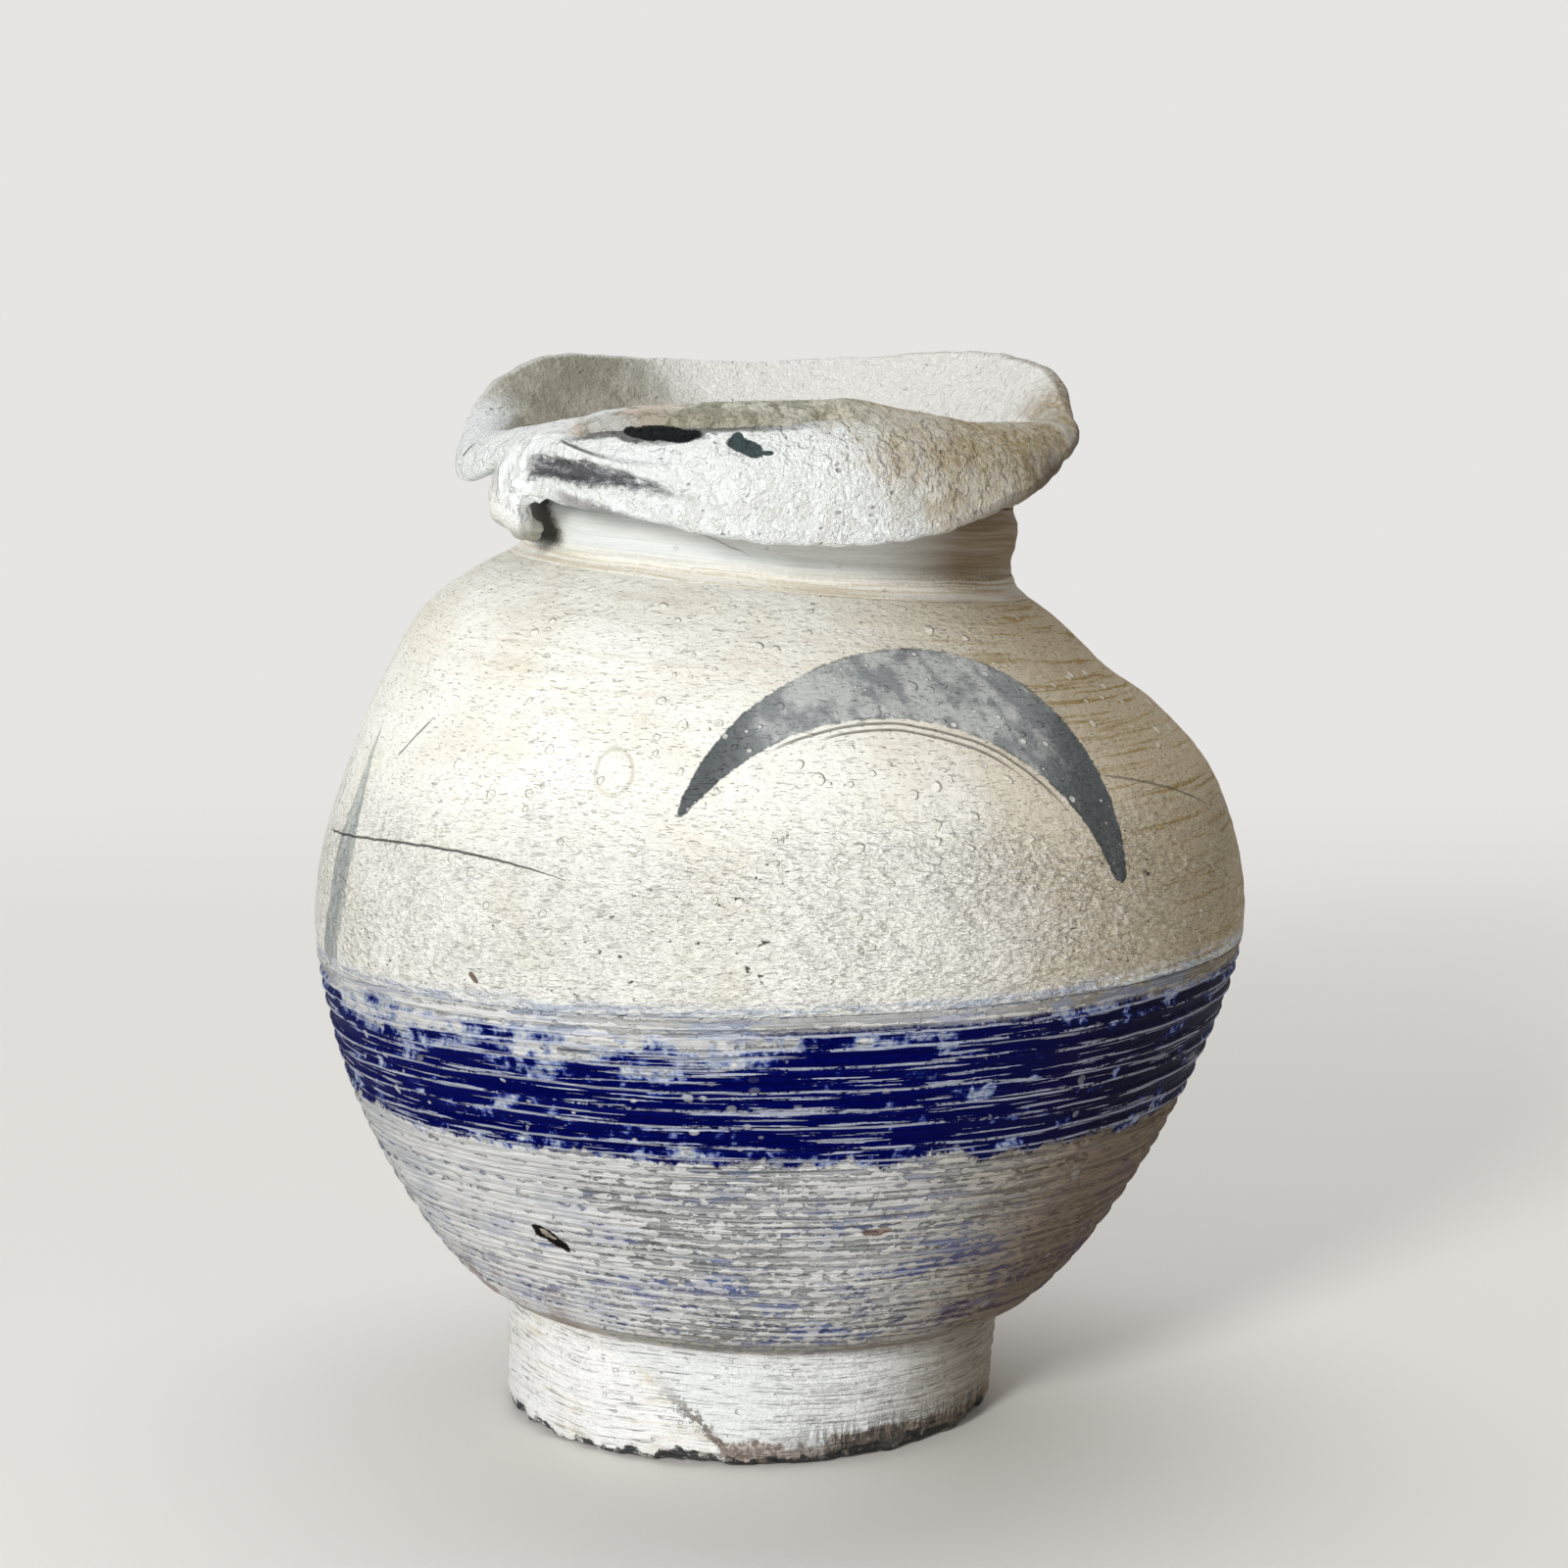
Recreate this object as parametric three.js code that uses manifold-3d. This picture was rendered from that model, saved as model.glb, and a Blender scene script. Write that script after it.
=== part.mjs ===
// Handmade pottery vase: a ringed foot, a round belly in two thrown halves, a short slanting neck and a flared
// rim that is folded down over the front. Millimetres, +Z up, front towards -Y, feet on z = 0.
import * as THREE from 'three';
import { mergeVertices } from 'three/addons/utils/BufferGeometryUtils.js';
import Module from 'manifold-3d';

const wasm = await Module();
wasm.setup();

// Whole vase: its height, and how far up the belly its widest ring is
const vaseHeight = 289.55;
const widestShare = 0.5331;

// Walls and luted joints
const wallThickness = 6;
const lutingGap = 0.3;
const tongueRise = 4;
const tongueThickness = 2.7;

// Foot ring
const footHeight = 31.5;
const footBottomRadius = 67.4;
const footTopRadius = 68.4;
const footWall = 12;
const footOuterRounding = 3;
const footInnerRounding = 1.5;
const footRidges = 3;
const spigotDrop = 2;

// Lower bowl
const bowlOverhang = 1.3;
const bowlFootHandleOut = 20.6;
const bowlFootHandleUp = 2.9;
const bowlBellyHandle = 34.4;
const floorThickness = 8;
const seamBelowWidest = 7;
const ridgePitch = 6;
const ridgeDepth = 0.7;
const firstRidgeRise = 9;

// Belly and shoulder
const widestRadius = 127.2;
const domeBellyHandle = 39;
const shoulderRadius = 67.5;
const shoulderHandleOut = 28;
const shoulderHandleDown = 12.4;
const shoulderRoundingRise = 1.5;
const rebateDepth = 3;
const rebateWidth = 2.4;

// Neck
const neckRise = 18.7;
const neckBore = 59.8;
const neckRootRadius = 67;
const neckWaistRadius = 65.7;
const neckBeadRadius = 67.7;
const neckTopRadius = 66.2;
const neckWaistRise = 5;
const neckBeadRise = 13.5;

// Folded rim: one sheet, with a proud ridge along the front crest and a crease below the ridge
const foldReach = 20;
const foldRise = 20;
const rimTopShare = 1.9775;
const sheetThickness = 5;
const ridgeProud = 1.8;
const creaseDrop = 9.5;
const lipRounding = 2.2;
const rootTaper = 0.35;
const waistHollow = 0.22;

// Lobe at the left end of the fold
const curlWidth = 19;
const curlThickness = 10;
const curlTuck = 3;

// Lean: how far the foot ring stands to the left of the belly's middle
const footShift = 8.9;

const bodySegments = 48;
const rimStep = 5;

// Heights of the seams, down from the rim's top to the shoulder and up from the ground to the belly's seam
const neckTop = vaseHeight - rimTopShare * foldRise;
const rimSeat = neckTop + lutingGap;
const neckBase = neckTop - neckRise;
const shoulderHeight = neckBase - lutingGap;
const seatHeight = footHeight + lutingGap;
const bowlRise = widestShare * (shoulderHeight - seatHeight);
const widestHeight = seatHeight + bowlRise;
const seamHeight = widestHeight - seamBelowWidest;
const domeRise = shoulderHeight - widestHeight;
const footBore = footBottomRadius - footWall;
const bowlFootRadius = footTopRadius + bowlOverhang;
const rootRadius = (neckTopRadius + neckBore) / 2;
const rootThickness = neckTopRadius - neckBore;

// The pot leans: at each height its section is shifted along X, as a share of the foot's shift, and tipped, in
// degrees, with the left side up
const leanStations = [
  { at: 0, shift: -1, tip: 0 },
  { at: seatHeight, shift: -0.854, tip: 2 },
  { at: seatHeight + 0.46 * bowlRise, shift: -0.517, tip: 0.9 },
  { at: widestHeight - seamBelowWidest, shift: -0.022, tip: -1 },
  { at: widestHeight + 0.35 * domeRise, shift: -0.124, tip: -1 },
  { at: widestHeight + 0.66 * domeRise, shift: -0.337, tip: 2.2 },
  { at: widestHeight + 0.83 * domeRise, shift: -0.472, tip: 5.2 },
  { at: neckBase, shift: -0.337, tip: 5.2 },
  { at: neckTop, shift: -0.337, tip: 2.2 },
  { at: neckTop + 0.7 * foldRise, shift: -0.337, tip: 0 },
];

// The rim sheet by angle in degrees, 0 at the right and 270 at the front. Reach is measured out from the middle
// of the neck's wall and rise up from the neck's top, to the middle of the sheet, as shares of the fold's reach
// and rise. Bulge swells the sheet between its crest and its edge, as a share of the fold's reach.
const rimStations = [
  { at: 0, crestReach: 0.625, crestRise: 0.95, edgeReach: 0.94, edgeRise: 0.92, bulge: 0.05 },
  { at: 20, crestReach: 0.625, crestRise: 1.2, edgeReach: 1.015, edgeRise: 1.625, bulge: 0.02 },
  { at: 45, crestReach: 0.575, crestRise: 1.3, edgeReach: 1.025, edgeRise: 1.89, bulge: 0 },
  { at: 90, crestReach: 0.525, crestRise: 1.3, edgeReach: 0.9, edgeRise: 1.76, bulge: 0 },
  { at: 140, crestReach: 0.5, crestRise: 1.3, edgeReach: 0.85, edgeRise: 1.85, bulge: 0 },
  { at: 160, crestReach: 0.55, crestRise: 1.15, edgeReach: 0.915, edgeRise: 1.475, bulge: 0.025 },
  { at: 180, crestReach: 0.625, crestRise: 0.9, edgeReach: 0.95, edgeRise: 0.7, bulge: 0.1 },
  { at: 194, crestReach: 0.65, crestRise: 0.8, edgeReach: 0.98, edgeRise: 0.225, bulge: 0.15 },
  { at: 208, crestReach: 0.6, crestRise: 0.84, edgeReach: 0.925, edgeRise: 0.3, bulge: 0.15 },
  { at: 222, crestReach: 0.525, crestRise: 0.95, edgeReach: 1.05, edgeRise: 0.15, bulge: 0.25 },
  { at: 245, crestReach: 0.43, crestRise: 1.125, edgeReach: 1.15, edgeRise: -0.075, bulge: 0.35 },
  { at: 270, crestReach: 0.41, crestRise: 1.2, edgeReach: 1.15, edgeRise: -0.31, bulge: 0.4 },
  { at: 285, crestReach: 0.41, crestRise: 1.25, edgeReach: 1.15, edgeRise: -0.29, bulge: 0.4 },
  { at: 300, crestReach: 0.4, crestRise: 1.1, edgeReach: 1.12, edgeRise: -0.1, bulge: 0.3 },
  { at: 318, crestReach: 0.4, crestRise: 0.93, edgeReach: 1.02, edgeRise: 0.17, bulge: 0.225 },
  { at: 340, crestReach: 0.5, crestRise: 0.91, edgeReach: 0.94, edgeRise: 0.58, bulge: 0.12 },
];

// The apron hangs between two angles. The crease parts it from the ridge: 0 where the sheet is whole, 1 where it
// is creased.
const apronStart = 222;
const apronEnd = 303;
const apronStep = 3;
const creaseStations = [
  { at: 0, parted: 0 },
  { at: apronStart - 20, parted: 0 },
  { at: apronStart - 8, parted: 1 },
  { at: apronEnd - 15, parted: 1 },
  { at: apronEnd + 9, parted: 0 },
];

// Middle line of the lobe, out from under the ridge, down, and in again to the neck's root, with angles from the
// apron's start and reach and rise as shares of the fold's. It starts in the sheet, just behind the ridge's nose.
const curlStartAngle = apronStart + 2;
const curlStartSwell = 0.5;
const curlPath = [
  { angle: apronStart, reach: 0.975, rise: 0.675, swell: 0.95 },
  { angle: apronStart - 1, reach: 1.2, rise: 0.225, swell: 1 },
  { angle: apronStart - 4.5, reach: 1.1, rise: -0.25, swell: 1.05 },
  { angle: apronStart - 8, reach: 0.775, rise: -0.6, swell: 0.9 },
  { angle: apronStart - 11, reach: 0.4, rise: -0.7, swell: 0.5 },
];

// Smooth value of a field between stations; with a period the last station leads on to the first
function valueAt(stations, field, at, period = 0) {
  const count = stations.length;
  const stationAt = (index) => {
    const turn = period ? Math.floor(index / count) : 0;
    const inside = period ? index - turn * count : THREE.MathUtils.clamp(index, 0, count - 1);
    return { at: stations[inside].at + turn * period, value: stations[inside][field] };
  };
  const place = period ? THREE.MathUtils.euclideanModulo(at - stations[0].at, period) + stations[0].at : at;
  let low = 0;
  while (low < count - 1 && stations[low + 1].at <= place) low += 1;
  const [before, from, to, after] = [low - 1, low, low + 1, low + 2].map(stationAt);
  const span = to.at - from.at;
  if (span <= 0 || place <= from.at) return from.value;
  const share = (place - from.at) / span;
  const middle = (to.value - from.value) / span;
  const slopeStart = meanSlope(from, before, middle);
  const slopeEnd = meanSlope(after, to, middle);
  const square = share * share;
  const cube = square * share;
  return (2 * cube - 3 * square + 1) * from.value + (cube - 2 * square + share) * span * slopeStart
    + (3 * square - 2 * cube) * to.value + (cube - square) * span * slopeEnd;
}

// Slope at a station that never overshoots: nought at a peak, else the harmonic mean of both sides
function meanSlope(outer, inner, middle) {
  const run = outer.at - inner.at;
  if (run === 0) return 0;
  const side = (outer.value - inner.value) / run;
  return side * middle > 0 ? (2 * side * middle) / (side + middle) : 0;
}

// Moves a point of an upright pot to its place on the leaning pot
function leanPoint(point) {
  const tip = THREE.MathUtils.degToRad(valueAt(leanStations, 'tip', point.z));
  const shift = footShift * valueAt(leanStations, 'shift', point.z);
  return new THREE.Vector3(point.x + shift, point.y, point.z - point.x * Math.tan(tip));
}

function leanGeometry(geometry) {
  const position = geometry.getAttribute('position');
  for (let i = 0; i < position.count; i += 1) {
    const point = leanPoint(new THREE.Vector3().fromBufferAttribute(position, i));
    position.setXYZ(i, point.x, point.y, point.z);
  }
  geometry.computeVertexNormals();
  return geometry;
}

// Turns a closed outline of [radius, height] points about the pot's axis
function turned(outline) {
  const points = [...outline, outline[0]].map(([radius, height]) => new THREE.Vector2(radius, height));
  return leanGeometry(new THREE.LatheGeometry(points, bodySegments).rotateX(Math.PI / 2));
}

// Belly curves: the bowl swells out from the foot to the widest ring, the dome closes in to the shoulder
const bowlCurve = new THREE.CubicBezierCurve(
  new THREE.Vector2(bowlFootRadius, seatHeight),
  new THREE.Vector2(bowlFootRadius + bowlFootHandleOut, seatHeight + bowlFootHandleUp),
  new THREE.Vector2(widestRadius, widestHeight - bowlBellyHandle),
  new THREE.Vector2(widestRadius, widestHeight),
);
const domeCurve = new THREE.CubicBezierCurve(
  new THREE.Vector2(widestRadius, widestHeight),
  new THREE.Vector2(widestRadius, widestHeight + domeBellyHandle),
  new THREE.Vector2(shoulderRadius + shoulderHandleOut, shoulderHeight - shoulderHandleDown),
  new THREE.Vector2(shoulderRadius, shoulderHeight),
);

// Curve parameter at which a rising curve reaches a height
function shareAtHeight(curve, height) {
  let low = 0;
  let high = 1;
  while (high - low > 1e-6) {
    const middle = (low + high) / 2;
    if (curve.getPoint(middle).y < height) low = middle;
    else high = middle;
  }
  return (low + high) / 2;
}

function curvePointAtHeight(curve, height) {
  return curve.getPoint(shareAtHeight(curve, height));
}

// Point of a curve at a height, moved inwards along the wall's normal by a depth
function wallPoint(curve, height, depth = 0) {
  const point = curvePointAtHeight(curve, height);
  const tangent = curve.getTangent(shareAtHeight(curve, height));
  return [point.x - tangent.y * depth, point.y + tangent.x * depth];
}

function heightsBetween(low, high, steps) {
  return Array.from({ length: steps + 1 }, (_, i) => low + ((high - low) * i) / steps);
}

// The belly's wall at the seam between bowl and dome: its outside, its bore and the tongue's outside
const seamRadius = curvePointAtHeight(bowlCurve, seamHeight).x;
const seamBore = seamRadius - wallThickness;
const tongueRadius = seamBore + tongueThickness;

// Foot ring: turned wall with rounded lower edges and a flat top that the bowl is luted to
function footRing() {
  const rounding = footOuterRounding * (1 - Math.SQRT1_2);
  const ridges = heightsBetween(footOuterRounding, footHeight, 2 * footRidges).map((height, i) => {
    const share = (height - footOuterRounding) / (footHeight - footOuterRounding);
    return [THREE.MathUtils.lerp(footBottomRadius, footTopRadius, share) - (i % 2 ? ridgeDepth : 0), height];
  });
  return turned([
    [footBore + footInnerRounding, 0],
    [footBottomRadius - footOuterRounding, 0],
    [footBottomRadius - rounding, rounding],
    ...ridges,
    [footBore, footHeight],
    [footBore, footInnerRounding],
  ]);
}

// Throwing ridges as a ripple in the bowl's outside, deepest half-way between two crests
function ridgeHeights() {
  const first = seatHeight + firstRidgeRise;
  const count = Math.floor((seamHeight - ridgePitch / 2 - first) / ridgePitch);
  return Array.from({ length: 2 * count + 1 }, (_, i) => ({
    height: first + (i * ridgePitch) / 2,
    depth: i % 2 ? ridgeDepth : 0,
  }));
}

// Lower bowl: floor with a spigot that sits in the foot, ridged wall, and a tongue for the dome
function lowerBowl() {
  const spigotRadius = footBore - lutingGap;
  const floorTop = seatHeight + floorThickness;
  const root = heightsBetween(seatHeight, seatHeight + firstRidgeRise / 2, 2);
  const outside = ridgeHeights().map(({ height, depth }) => wallPoint(bowlCurve, height, depth));
  const inside = heightsBetween(seatHeight, seamHeight, 10)
    .map((height) => wallPoint(bowlCurve, height, wallThickness))
    .filter(([, height]) => height > floorTop && height < seamHeight);
  return turned([
    [0, seatHeight - spigotDrop],
    [spigotRadius, seatHeight - spigotDrop],
    [spigotRadius, seatHeight],
    ...root.map((height) => wallPoint(bowlCurve, height)),
    ...outside,
    [seamRadius, seamHeight],
    [tongueRadius, seamHeight],
    [tongueRadius, seamHeight + tongueRise],
    [seamBore, seamHeight + tongueRise],
    ...inside.reverse(),
    [inside.at(-1)[0] - wallThickness, floorTop],
    [0, floorTop],
  ]);
}

// Shoulder dome: grooved over the bowl's tongue, with a rebate at the top that the neck's spigot drops into
function shoulderDome(grow = 0) {
  const seamLevel = seamHeight + lutingGap;
  const outside = [
    wallPoint(bowlCurve, seamLevel, -grow),
    ...heightsBetween(widestHeight, shoulderHeight - shoulderRoundingRise, 14)
      .map((height) => wallPoint(domeCurve, height, -grow)),
    [shoulderRadius + grow, shoulderHeight + grow],
  ];
  const inside = heightsBetween(widestHeight, shoulderHeight, 11).slice(0, -1)
    .map((height) => wallPoint(domeCurve, height, wallThickness))
    .filter(([radius, height]) => radius > neckBore + rebateWidth && height > seamLevel + tongueRise);
  return turned([
    [tongueRadius + lutingGap, seamLevel],
    ...outside,
    [neckBore + rebateWidth, shoulderHeight + grow],
    [neckBore + rebateWidth, shoulderHeight - rebateDepth],
    [neckBore, shoulderHeight - rebateDepth],
    ...inside.reverse(),
    [seamBore, seamLevel + tongueRise],
    [tongueRadius + lutingGap, seamLevel + tongueRise],
  ]);
}

// Neck collar: waisted outside with a soft bead under the rim, spigot below
function neckCollar(grow = 0) {
  const outside = new THREE.SplineCurve([
    new THREE.Vector2(neckRootRadius, neckBase),
    new THREE.Vector2(neckWaistRadius, neckBase + neckWaistRise),
    new THREE.Vector2(neckBeadRadius, neckBase + neckBeadRise),
    new THREE.Vector2(neckTopRadius, neckTop),
  ]).getPoints(8).map((point) => [point.x + grow, point.y]);
  const spigotBottom = neckBase - rebateDepth;
  return turned([
    [neckBore, spigotBottom],
    [neckBore + rebateWidth - lutingGap, spigotBottom],
    [neckBore + rebateWidth - lutingGap, neckBase],
    ...outside,
    [neckBore, neckTop],
    [neckBore, neckBase + neckWaistRise],
  ]);
}

// Middle line of the rim sheet at one angle, in the plane of radius and height
function rimCurve(angle) {
  const field = (name) => valueAt(rimStations, name, angle, 360);
  const reach = (name) => rootRadius + foldReach * field(name);
  const rise = (name) => neckTop + foldRise * field(name);
  const root = new THREE.Vector3(rootRadius, rimSeat, 0);
  const crest = new THREE.Vector3(reach('crestReach'), rise('crestRise'), 0);
  const edge = new THREE.Vector3(reach('edgeReach'), rise('edgeRise'), 0);
  const waist = root.clone().lerp(crest, 0.5);
  waist.x -= (crest.x - rootRadius) * waistHollow;
  const chord = edge.clone().sub(crest).normalize();
  const swell = crest.clone().lerp(edge, 0.5);
  swell.add(new THREE.Vector3(-chord.y, chord.x, 0).multiplyScalar(foldReach * field('bulge')));
  return new THREE.CatmullRomCurve3([root, waist, crest, swell, edge], false, 'centripetal');
}

// Share of the sheet's length at which the ridge ends and the crease begins
function creaseShare(curve, angle) {
  const lengths = curve.getLengths();
  const creaseLength = lengths[Math.floor(lengths.length / 2)] + creaseDrop;
  const parted = valueAt(creaseStations, 'parted', angle, 360);
  return THREE.MathUtils.lerp(1, creaseLength / lengths.at(-1), parted);
}

// Closed outline across the sheet between two shares of its length. The face is the side that is inside the
// neck and turns up and over with the fold; a ridge stands proud of it near the outline's end.
function sheetOutline(curve, { from = 0, to = 1, steps, ridge = 0, grow = 0 }) {
  const back = [];
  const face = [];
  for (let i = 0; i <= steps; i += 1) {
    const share = THREE.MathUtils.lerp(from, to, i / steps);
    const point = curve.getPointAt(share);
    const tangent = share === 0 ? new THREE.Vector3(0, 1, 0) : curve.getTangentAt(share);
    const taper = THREE.MathUtils.smoothstep(share, 0, rootTaper);
    const half = THREE.MathUtils.lerp(rootThickness, sheetThickness, taper) / 2 + grow;
    const proud = ridge * THREE.MathUtils.smoothstep(share, to * 0.62, to * 0.95);
    const outward = new THREE.Vector3(tangent.y, -tangent.x, 0);
    back.push(point.clone().addScaledVector(outward, half));
    face.push(point.clone().addScaledVector(outward, -half - proud));
  }
  const nose = back.at(-1).clone().lerp(face.at(-1), 0.5);
  nose.addScaledVector(curve.getTangentAt(to), lipRounding + grow);
  return [...back, nose, ...face.reverse()];
}

// Joins a row of closed outlines, all with as many points, into one solid; an open row gets flat ends
function loft(sections, closed) {
  const width = sections[0].length;
  const position = sections.flat().flatMap((point) => [point.x, point.y, point.z]);
  const index = [];
  const rows = closed ? sections.length : sections.length - 1;
  for (let row = 0; row < rows; row += 1) {
    const next = (row + 1) % sections.length;
    for (let i = 0; i < width; i += 1) {
      const j = (i + 1) % width;
      const [a, b, c, d] = [row * width + i, row * width + j, next * width + j, next * width + i];
      index.push(a, c, b, a, d, c);
    }
  }
  if (!closed) index.push(...endCaps(sections, width));
  const geometry = new THREE.BufferGeometry();
  geometry.setAttribute('position', new THREE.Float32BufferAttribute(position, 3));
  geometry.setIndex(index);
  return geometry;
}

// Flat ends of an open loft, from the outlines' own plane
function endCaps(sections, width) {
  const capOf = (section, offset, flip) => {
    const middle = section.reduce((sum, point) => sum.add(point), new THREE.Vector3()).divideScalar(width);
    const across = section[0].clone().sub(middle).normalize();
    const normal = section.reduce((sum, point, i) => sum.add(
      point.clone().sub(middle).cross(section[(i + 1) % width].clone().sub(middle))), new THREE.Vector3()).normalize();
    const up = normal.clone().cross(across);
    const flat = section.map((point) => {
      const arm = point.clone().sub(middle);
      return new THREE.Vector2(arm.dot(across), arm.dot(up));
    });
    return THREE.ShapeUtils.triangulateShape(flat, []).flatMap(([a, b, c]) => (
      flip ? [offset + c, offset + b, offset + a] : [offset + a, offset + b, offset + c]));
  };
  const last = (sections.length - 1) * width;
  return [...capOf(sections[0], 0, false), ...capOf(sections.at(-1), last, true)];
}

// Places an outline of (radius, height) points at an angle round the neck
function aroundNeck(outline, angle) {
  const turn = THREE.MathUtils.degToRad(angle);
  return outline.map((point) => new THREE.Vector3(point.x * Math.cos(turn), point.x * Math.sin(turn), point.y));
}

function anglesBetween(low, high, step) {
  const count = Math.round((high - low) / step);
  return Array.from({ length: count + 1 }, (_, i) => low + ((high - low) * i) / count);
}

// Rim flange: the sheet round the whole mouth, ended by the ridge where the crease parts it from the apron
function rimFlange(grow = 0) {
  const sections = anglesBetween(0, 360 - rimStep, rimStep).map((angle) => {
    const curve = rimCurve(angle);
    const parted = valueAt(creaseStations, 'parted', angle, 360);
    const to = creaseShare(curve, angle);
    return aroundNeck(sheetOutline(curve, { to, steps: 8, ridge: ridgeProud * parted, grow }), angle);
  });
  return leanGeometry(loft(sections, true));
}

// Front apron: the rest of the sheet, folded down over the neck from the crease to its hanging edge
function frontApron() {
  const sections = anglesBetween(apronStart, apronEnd, apronStep).map((angle) => {
    const curve = rimCurve(angle);
    const from = creaseShare(curve, angle) + (lutingGap + lipRounding) / curve.getLength();
    return aroundNeck(sheetOutline(curve, { from, steps: 6 }), angle);
  });
  return leanGeometry(loft(sections, false));
}

// Pleat curl: an oval roll swept along its path, thinner at both ends, cleared from its neighbours
function pleatCurl(grow = 0) {
  const sheet = rimCurve(curlStartAngle);
  const start = sheet.getPointAt(creaseShare(sheet, curlStartAngle) - curlTuck / sheet.getLength());
  const places = curlPath.map(({ angle, reach, rise }) => (
    aroundNeck([new THREE.Vector2(rootRadius + foldReach * reach, neckTop + foldRise * rise)], angle)[0]));
  const path = new THREE.CatmullRomCurve3([...aroundNeck([start], curlStartAngle), ...places], false, 'centripetal');
  const swells = [curlStartSwell, ...curlPath.map((station) => station.swell)];
  const swell = swells.map((value, i) => ({ at: i / curlPath.length, value }));
  const steps = 12;
  const sides = 12;
  const sections = Array.from({ length: steps + 1 }, (_, step) => {
    const share = step / steps;
    const tangent = path.getTangent(share);
    const beyond = { 0: -grow, [steps]: grow }[step] ?? 0;
    const middle = path.getPoint(share).addScaledVector(tangent, beyond);
    const outward = new THREE.Vector3(middle.x, middle.y, 0).normalize();
    const across = new THREE.Vector3().crossVectors(tangent, outward).normalize();
    const through = new THREE.Vector3().crossVectors(across, tangent).normalize();
    const size = valueAt(swell, 'value', share);
    return Array.from({ length: sides }, (_, side) => {
      const turn = (side / sides) * 2 * Math.PI;
      return middle.clone()
        .addScaledVector(across, Math.cos(turn) * (curlWidth * size / 2 + grow))
        .addScaledVector(through, Math.sin(turn) * (curlThickness * size / 2 + grow));
    });
  });
  return leanGeometry(loft(sections, false));
}

// Solids for cutting a piece back from its neighbours
function solidOf(geometry) {
  const bare = new THREE.BufferGeometry();
  bare.setAttribute('position', geometry.getAttribute('position').clone());
  if (geometry.index) bare.setIndex(geometry.index.clone());
  const merged = mergeVertices(bare, 1e-4);
  const vertProperties = merged.getAttribute('position').array;
  const triVerts = Uint32Array.from(merged.index.array);
  return new wasm.Manifold(new wasm.Mesh({ numProp: 3, vertProperties, triVerts }));
}

function geometryOf(solid) {
  const { vertProperties, triVerts } = solid.getMesh();
  const geometry = new THREE.BufferGeometry();
  geometry.setAttribute('position', new THREE.BufferAttribute(vertProperties, 3));
  geometry.setIndex(new THREE.BufferAttribute(triVerts, 1));
  geometry.computeVertexNormals();
  return geometry;
}

function piece(name, geometry, colour, roughness) {
  const material = new THREE.MeshStandardMaterial({ color: colour, roughness, metalness: 0 });
  const mesh = new THREE.Mesh(geometry, material);
  mesh.name = name;
  return mesh;
}

function cutBack(geometry, neighbours) {
  return geometryOf(neighbours.reduce((rest, neighbour) => rest.subtract(solidOf(neighbour)), solidOf(geometry)));
}

const curl = cutBack(pleatCurl(), [rimFlange(lutingGap), neckCollar(lutingGap), shoulderDome(lutingGap)]);
const apron = cutBack(frontApron(), [pleatCurl(lutingGap)]);

const vase = new THREE.Group();
vase.add(
  piece('foot_ring', footRing(), '#d8d5cd', 0.85),
  piece('lower_bowl', lowerBowl(), '#8d97bb', 0.7),
  piece('shoulder_dome', shoulderDome(), '#d9d1bd', 0.82),
  piece('neck_collar', neckCollar(), '#e4e2dc', 0.8),
  piece('rim_flange', rimFlange(), '#cdc3ae', 0.82),
  piece('front_apron', apron, '#e8e9e6', 0.85),
  piece('pleat_curl', curl, '#dcd9cf', 0.85),
);

export default vase;
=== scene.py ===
import math

import bpy
import numpy as np
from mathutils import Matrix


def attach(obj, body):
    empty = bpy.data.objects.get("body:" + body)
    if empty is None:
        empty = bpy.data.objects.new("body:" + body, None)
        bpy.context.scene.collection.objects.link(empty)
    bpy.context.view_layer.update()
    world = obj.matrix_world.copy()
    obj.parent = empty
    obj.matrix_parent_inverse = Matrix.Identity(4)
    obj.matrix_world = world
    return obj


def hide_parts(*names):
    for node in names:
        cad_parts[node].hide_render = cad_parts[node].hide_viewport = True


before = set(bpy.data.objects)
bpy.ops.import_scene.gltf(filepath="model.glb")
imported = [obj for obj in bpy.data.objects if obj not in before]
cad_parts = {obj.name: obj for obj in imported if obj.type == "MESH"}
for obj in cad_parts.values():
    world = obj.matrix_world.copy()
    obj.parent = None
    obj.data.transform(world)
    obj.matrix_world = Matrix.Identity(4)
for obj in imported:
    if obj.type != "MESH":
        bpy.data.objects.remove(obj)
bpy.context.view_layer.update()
print("pottery vase: frame loaded")

# small helpers for node trees


class field:  # a node's output that can be used in sums
    def __init__(self, socket):
        self.socket = socket
        self.tree = socket.id_data

    def __add__(self, other):
        return calc("ADD", self, other)

    def __radd__(self, other):
        return calc("ADD", other, self)

    def __sub__(self, other):
        return calc("SUBTRACT", self, other)

    def __rsub__(self, other):
        return calc("SUBTRACT", other, self)

    def __mul__(self, other):
        return calc("MULTIPLY", self, other)

    def __rmul__(self, other):
        return calc("MULTIPLY", other, self)

    def __truediv__(self, other):
        return calc("DIVIDE", self, other)

    def __rtruediv__(self, other):
        return calc("DIVIDE", other, self)


def addNode(tree, kind, inputs=None, **settings):
    node = tree.nodes.new(kind)
    for key, value in settings.items():
        setattr(node, key, value)
    for key, value in (inputs or {}).items():
        if isinstance(value, field):
            tree.links.new(value.socket, node.inputs[key])
        else:
            node.inputs[key].default_value = value
    return node


def made(tree, kind, inputs=None, output=0, **settings):  # one output of a new node
    return field(addNode(tree, kind, inputs, **settings).outputs[output])


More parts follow.
